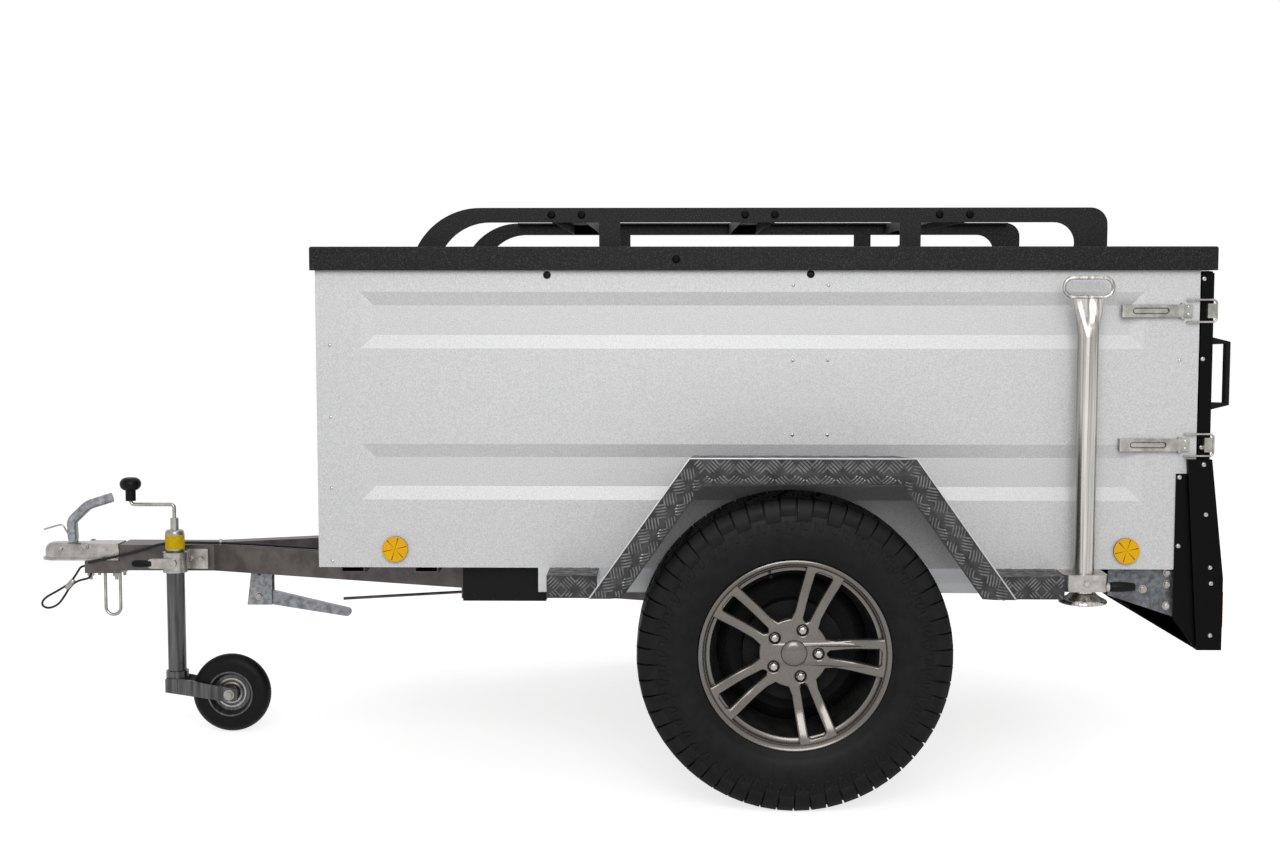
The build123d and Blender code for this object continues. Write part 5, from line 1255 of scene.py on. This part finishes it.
# Jockey wheel
JOCKEY_LOW, JOCKEY_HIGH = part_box("jockey_head")
JOCKEY = middle("jockey_tube")
CASTER = middle("jockey_tyre")
CASTER_FORK_OUT = 0.036
CASTER_WEB = 0.006
CASTER_RINGS = ((0.024, 0.029), (0.035, 0.040))
CASTER_RING_RISE = 0.0025
BAND_LOW = 0.003
BAND_HIGH = 0.041
BAND_THICK = 0.0006
CLAMP_BOLTS = ((-1.5825, 0.461), (-1.553, 0.459))
CLAMP_PLATE_Y = -0.062
CLAMP_GRIP = (-1.714, -0.147, 0.459)
CLAMP_GRIP_LENGTH = 0.052
CLAMP_GRIP_R = 0.0108
AXLE_NUT = 1.4
# A moulded grip: share of its length from one end, share of its radius
GRIP_SHAPE = ((0, 0), (0, 0.55), (0.06, 0.86), (0.25, 1.0), (0.55, 0.98), (0.85, 0.86), (1.0, 0.74), (1.0, 0))


def grip(bm, place, axis, length, radius):
    """A moulded oval grip from a place along an axis."""
    turned(bm, place, axis, [(radius * wide, length * share) for share, wide in GRIP_SHAPE], steps=24)


class TRAILER_OT_jockey(bpy.types.Operator):
    """Adds the jockey wheel's band, bolts, axle nuts, disc rings and lever grip"""

    bl_idname = "trailer.jockey"
    bl_label = "Jockey wheel"

    def execute(self, context):
        screw = context.scene.trailer_screw.hexagon
        radius = (JOCKEY_HIGH.x - JOCKEY_LOW.x) / 2
        bm = bmesh.new()
        band = ring_loop(radius, radius + BAND_THICK, BAND_LOW, BAND_HIGH)
        turned(bm, (JOCKEY.x, JOCKEY.y, JOCKEY_LOW.z), (0, 0, 1), band, steps=48, closed=True)
        make_piece("jockey_band", bm, "band", "jockey_post")

        bolts, nuts, discs, grips = (bmesh.new() for _ in range(4))
        for x, z in CLAMP_BOLTS:
            head(bolts, "hexagon", from_axle((x, CLAMP_PLATE_Y, z)), (0, -1, 0), screw)
        for sign in SIGNS:
            out = (0, sign, 0)
            head(nuts, "hexagon", CASTER + Vector((0, sign * CASTER_FORK_OUT, 0)), out, AXLE_NUT * screw)
            for inner, outer in CASTER_RINGS:
                ring = ring_loop(inner, outer, 0, CASTER_RING_RISE)
                turned(discs, CASTER + Vector((0, sign * CASTER_WEB, 0)), out, ring, steps=40, closed=True)
        grip(grips, from_axle(CLAMP_GRIP), (1, 0, 0), CLAMP_GRIP_LENGTH, CLAMP_GRIP_R)
        make_piece("jockey_clamp_bolts", bolts, "zinc", "chassis", smooth_angle=25)
        make_piece("jockey_axle_nuts", nuts, "zinc", "jockey_swivel", smooth_angle=25)
        make_piece("jockey_disc_rings", discs, "zinc", "jockey_wheel", bevel=0.0008)
        make_piece("jockey_clamp_grip", grips, "plastic", "chassis", smooth_angle=50)
        return {"FINISHED"}


# Front steady leg
STEADY_PIVOT = (-1.420, 0.340)
STEADY_BOLT = 1.2


class TRAILER_OT_steady(bpy.types.Operator):
    """Adds the pivot bolt of the front steady leg"""

    bl_idname = "trailer.steady"
    bl_label = "Steady leg"

    def execute(self, context):
        low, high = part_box("steady_bracket")
        radius = context.scene.trailer_screw.hexagon
        bm = bmesh.new()
        x, z = STEADY_PIVOT
        for y, way in ((low.y, -1), (high.y, 1)):
            head(bm, "hexagon", from_axle((x, y, z)), (0, way, 0), STEADY_BOLT * radius)
        make_piece("steady_bolts", bm, "zinc", "chassis", smooth_angle=25)
        return {"FINISHED"}


# Rear prop stands
PROP = middle("prop_stand_right")
PROP_LOW, PROP_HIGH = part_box("prop_stand_right")
PROP_R = 0.025
PROP_TUBE_RISE = 0.02
PROP_BOLT_DROP = 0.02
PROP_FAN_LOW = 1.075
PROP_FAN_HIGH = 1.166
PROP_FAN_HALF = (0.035, 0.008)
PROP_FAN_ROWS = 14
PROP_CREASE = 0.5
PROP_CREASE_HALF = 0.011
PROP_STEPS = 40
LOOP_R = 0.0045
LOOP_BEND = 0.0225
LOOP_STRAIGHT = 0.0345
# Foot of a prop stand: (radius, height)
PROP_FOOT = (
    (0, 0.004),
    (0.0445, 0.004),
    (0.0505, 0.0005),
    (0.0535, 0),
    (0.0562, 0.002),
    (0.0562, 0.005),
    (0.0535, 0.0085),
    (0.046, 0.012),
    (0.037, 0.017),
    (0.031, 0.023),
    (0.029, 0.025),
    (0, 0.025),
)
PROP_GRIP = (0.744, 0.649, 0.491)
PROP_GRIP_LENGTH = 0.062
PROP_GRIP_R = 0.0128


def prop_tube(bm, centre_y):
    """The round tube of a prop stand, pressed flat at its top with a crease down the middle of each face."""
    heights = [PROP_LOW.z + PROP_TUBE_RISE, PROP_FAN_LOW]
    span = PROP_FAN_HIGH - PROP_FAN_LOW
    heights += [PROP_FAN_LOW + span * row / PROP_FAN_ROWS for row in range(1, PROP_FAN_ROWS + 1)]
    rings = []
    for z in heights:
        share = eased((z - PROP_FAN_LOW) / span)
        wide, deep = [PROP_R + (flat - PROP_R) * share for flat in PROP_FAN_HALF]
        ring = []
        for u, v in circle(1, PROP_STEPS):
            pinch = 1 - PROP_CREASE * share * math.exp(-((wide * u / PROP_CREASE_HALF) ** 2))
            ring.append(bm.verts.new((PROP.x + wide * u, centre_y + deep * v * pinch, z)))
        rings.append(ring)
    skin(bm, rings)
    bm.faces.new(rings[0][::-1])
    bm.faces.new(rings[-1])


class TRAILER_OT_props(bpy.types.Operator):
    """Adds the rear prop stands with their pressed tops, and the grips of their clamps"""

    bl_idname = "trailer.props"
    bl_label = "Prop stands"

    def execute(self, context):
        screw = context.scene.trailer_screw.hexagon
        clamp_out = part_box("prop_clamps")[1].y
        grips, bolts = bmesh.new(), bmesh.new()
        for side, sign in SIDES:
            centre_y = sign * PROP.y
            bm = bmesh.new()
            prop_tube(bm, centre_y)
            loop_z = PROP_HIGH.z - LOOP_R - LOOP_BEND
            hoop(bm, oval((PROP.x, centre_y, loop_z), LOOP_STRAIGHT, LOOP_BEND), LOOP_R)
            turned(bm, (PROP.x, centre_y, PROP_LOW.z), (0, 0, 1), PROP_FOOT, steps=48)
            name, body = f"prop_tube_{side}", f"prop_{side}"
            stand = make_piece(name, bm, "tube", body, smooth_angle=50)
            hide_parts(f"prop_stand_{side}")
            x, y, z = PROP_GRIP
            grip(grips, from_axle((x, sign * y, z)), (1, 0, 0), PROP_GRIP_LENGTH, PROP_GRIP_R)
            bolt = (PROP.x, sign * clamp_out, FLOOR_Z - PROP_BOLT_DROP)
            head(bolts, "hexagon", bolt, (0, sign, 0), screw)
        make_piece("prop_clamp_grips", grips, "plastic", "chassis", smooth_angle=50)
        make_piece("prop_clamp_bolts", bolts, "zinc", "chassis", smooth_angle=25)
        return {"FINISHED"}


# Stage
CAMERA_PLACE = (0.1923, -4.7405, 1.1974)
CAMERA_PITCH = 4.644
CAMERA_YAW = 1.043
CAMERA_LENS = 49.33
CAMERA_SENSOR = 36
CAMERA_FAR = 200
FLOOR_HALF = 60
WORLD_STRENGTH = 0.5
FLOOR_GLOW = 0.76
FLOOR_SHADE = 0.48
FLOOR_PAINT = 0.30
LIGHT_AIM = (0.1, 0, 0.6)
# name, place, side of the square lamp, power
LAMPS = (
    ("key_light", (0.3, -5.4, 3.4), 3.2, 172),
    ("top_light", (0.4, 0.2, 5.0), 4.0, 35),
    ("rear_light", (4.2, 2.6, 3.0), 2.5, 60),
)


def seen_rays(tree):
    """One for the rays of the camera, of clear materials and of reflections, which see white."""
    path = add_node(tree, "ShaderNodeLightPath")
    seen = (path, "Is Camera Ray")
    for ray in ("Is Transmission Ray", "Is Glossy Ray"):
        either = add_node(
            tree, "ShaderNodeMath", settings={"operation": "MAXIMUM"}, links={0: seen, 1: (path, ray)}
        )
        seen = (either, 0)
    return seen


def grey(level):
    """A neutral grey."""
    return (level, level, level, 1)


class TRAILER_OT_stage(bpy.types.Operator):
    """Adds the pale floor, the studio light and the camera"""

    bl_idname = "trailer.stage"
    bl_label = "Stage"

    def execute(self, context):
        scene = context.scene
        scene.view_settings.view_transform = "Standard"
        camera = bpy.data.cameras.new("photo_camera")
        camera.lens = CAMERA_LENS
        camera.sensor_width = CAMERA_SENSOR
        camera.clip_end = CAMERA_FAR
        holder = bpy.data.objects.new("photo_camera", camera)
        holder.location = CAMERA_PLACE
        holder.rotation_euler = (math.radians(90 - CAMERA_PITCH), 0, math.radians(CAMERA_YAW))
        context.collection.objects.link(holder)
        scene.camera = holder

        world = bpy.data.worlds.new("white_studio")
        world.use_nodes = True
        scene.world = world
        tree = world.node_tree
        tree.nodes.clear()
        light = add_node(tree, "ShaderNodeBackground", inputs={"Color": grey(1), "Strength": WORLD_STRENGTH})
        white = add_node(tree, "ShaderNodeBackground", inputs={"Color": grey(1), "Strength": 1.0})
        mix = add_node(tree, "ShaderNodeMixShader", links={0: seen_rays(tree), 1: (light, 0), 2: (white, 0)})
        add_node(tree, "ShaderNodeOutputWorld", links={"Surface": (mix, 0)})

        bm = bmesh.new()
        bmesh.ops.create_grid(bm, x_segments=1, y_segments=1, size=FLOOR_HALF)
        mesh = bpy.data.meshes.new("studio_floor")
        bm.to_mesh(mesh)
        bm.free()
        floor = bpy.data.objects.new("studio_floor", mesh)
        context.collection.objects.link(floor)
        material = bpy.data.materials.new("white_floor_paint")
        material.use_nodes = True
        tree = material.node_tree
        tree.nodes.clear()
        matt = add_node(tree, "ShaderNodeBsdfDiffuse", inputs={"Color": grey(FLOOR_PAINT)})
        shade = add_node(tree, "ShaderNodeBsdfDiffuse", inputs={"Color": grey(FLOOR_SHADE)})
        glow = add_node(tree, "ShaderNodeEmission", inputs={"Color": grey(1), "Strength": FLOOR_GLOW})
        both = add_node(tree, "ShaderNodeAddShader", links={0: (shade, 0), 1: (glow, 0)})
        mix = add_node(tree, "ShaderNodeMixShader", links={0: seen_rays(tree), 1: (matt, 0), 2: (both, 0)})
        add_node(tree, "ShaderNodeOutputMaterial", links={"Surface": (mix, 0)})
        mesh.materials.append(material)

        for name, place, extent, power in LAMPS:
            lamp = bpy.data.lights.new(name, "AREA")
            lamp.shape = "SQUARE"
            lamp.size = extent
            lamp.energy = power
            stand = bpy.data.objects.new(name, lamp)
            stand.location = place
            stand.rotation_euler = (Vector(LIGHT_AIM) - Vector(place)).to_track_quat("-Z", "Y").to_euler()
            context.collection.objects.link(stand)
        return {"FINISHED"}


class TRAILER_OT_finishes(bpy.types.Operator):
    """Makes the finishes and puts them on the frame's own nodes"""

    bl_idname = "trailer.finishes"
    bl_label = "Finishes"

    def execute(self, context):
        make_finishes(context.scene.trailer_colours)
        for finish, nodes in NODE_FINISH.items():
            for node in nodes:
                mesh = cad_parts[node].data
                mesh.materials.clear()
                mesh.materials.append(FINISH[finish])
        return {"FINISHED"}


PIECE_OPERATORS = (
    TRAILER_OT_finishes,
    TRAILER_OT_stage,
    TRAILER_OT_cables,
    TRAILER_OT_tyres,
    TRAILER_OT_rims,
    TRAILER_OT_brakes,
    TRAILER_OT_fenders,
    TRAILER_OT_boards,
    TRAILER_OT_fasteners,
    TRAILER_OT_seal,
    TRAILER_OT_latches,
    TRAILER_OT_reflectors,
    TRAILER_OT_lamps,
    TRAILER_OT_coupling,
    TRAILER_OT_jockey,
    TRAILER_OT_steady,
    TRAILER_OT_props,
)
GROUPS = {
    "trailer_colours": TrailerColours,
    "trailer_tyre": TyreSizes,
    "trailer_plate": PlateSizes,
    "trailer_screw": ScrewSizes,
}


class TRAILER_PT_sidebar(bpy.types.Panel):
    """Lists the trailer's pieces and sizes"""

    bl_label = "Tent trailer"
    bl_space_type = "VIEW_3D"
    bl_region_type = "UI"
    bl_category = "Trailer"

    def draw(self, context):
        for operator in PIECE_OPERATORS:
            self.layout.operator(operator.bl_idname)
        for name, group in GROUPS.items():
            box = self.layout.box()
            for key in group.__annotations__:
                box.prop(getattr(context.scene, name), key)


def register():
    for group in GROUPS.values():
        bpy.utils.register_class(group)
    for name, group in GROUPS.items():
        setattr(bpy.types.Scene, name, bpy.props.PointerProperty(type=group))
    for operator in PIECE_OPERATORS:
        bpy.utils.register_class(operator)
    bpy.utils.register_class(TRAILER_PT_sidebar)


def unregister():
    bpy.utils.unregister_class(TRAILER_PT_sidebar)
    for operator in reversed(PIECE_OPERATORS):
        bpy.utils.unregister_class(operator)
    for name in GROUPS:
        delattr(bpy.types.Scene, name)
    for group in reversed(list(GROUPS.values())):
        bpy.utils.unregister_class(group)


def main():
    register()
    for operator in PIECE_OPERATORS:
        section, name = operator.bl_idname.split(".")
        getattr(getattr(bpy.ops, section), name)()


if __name__ == "__main__":
    main()
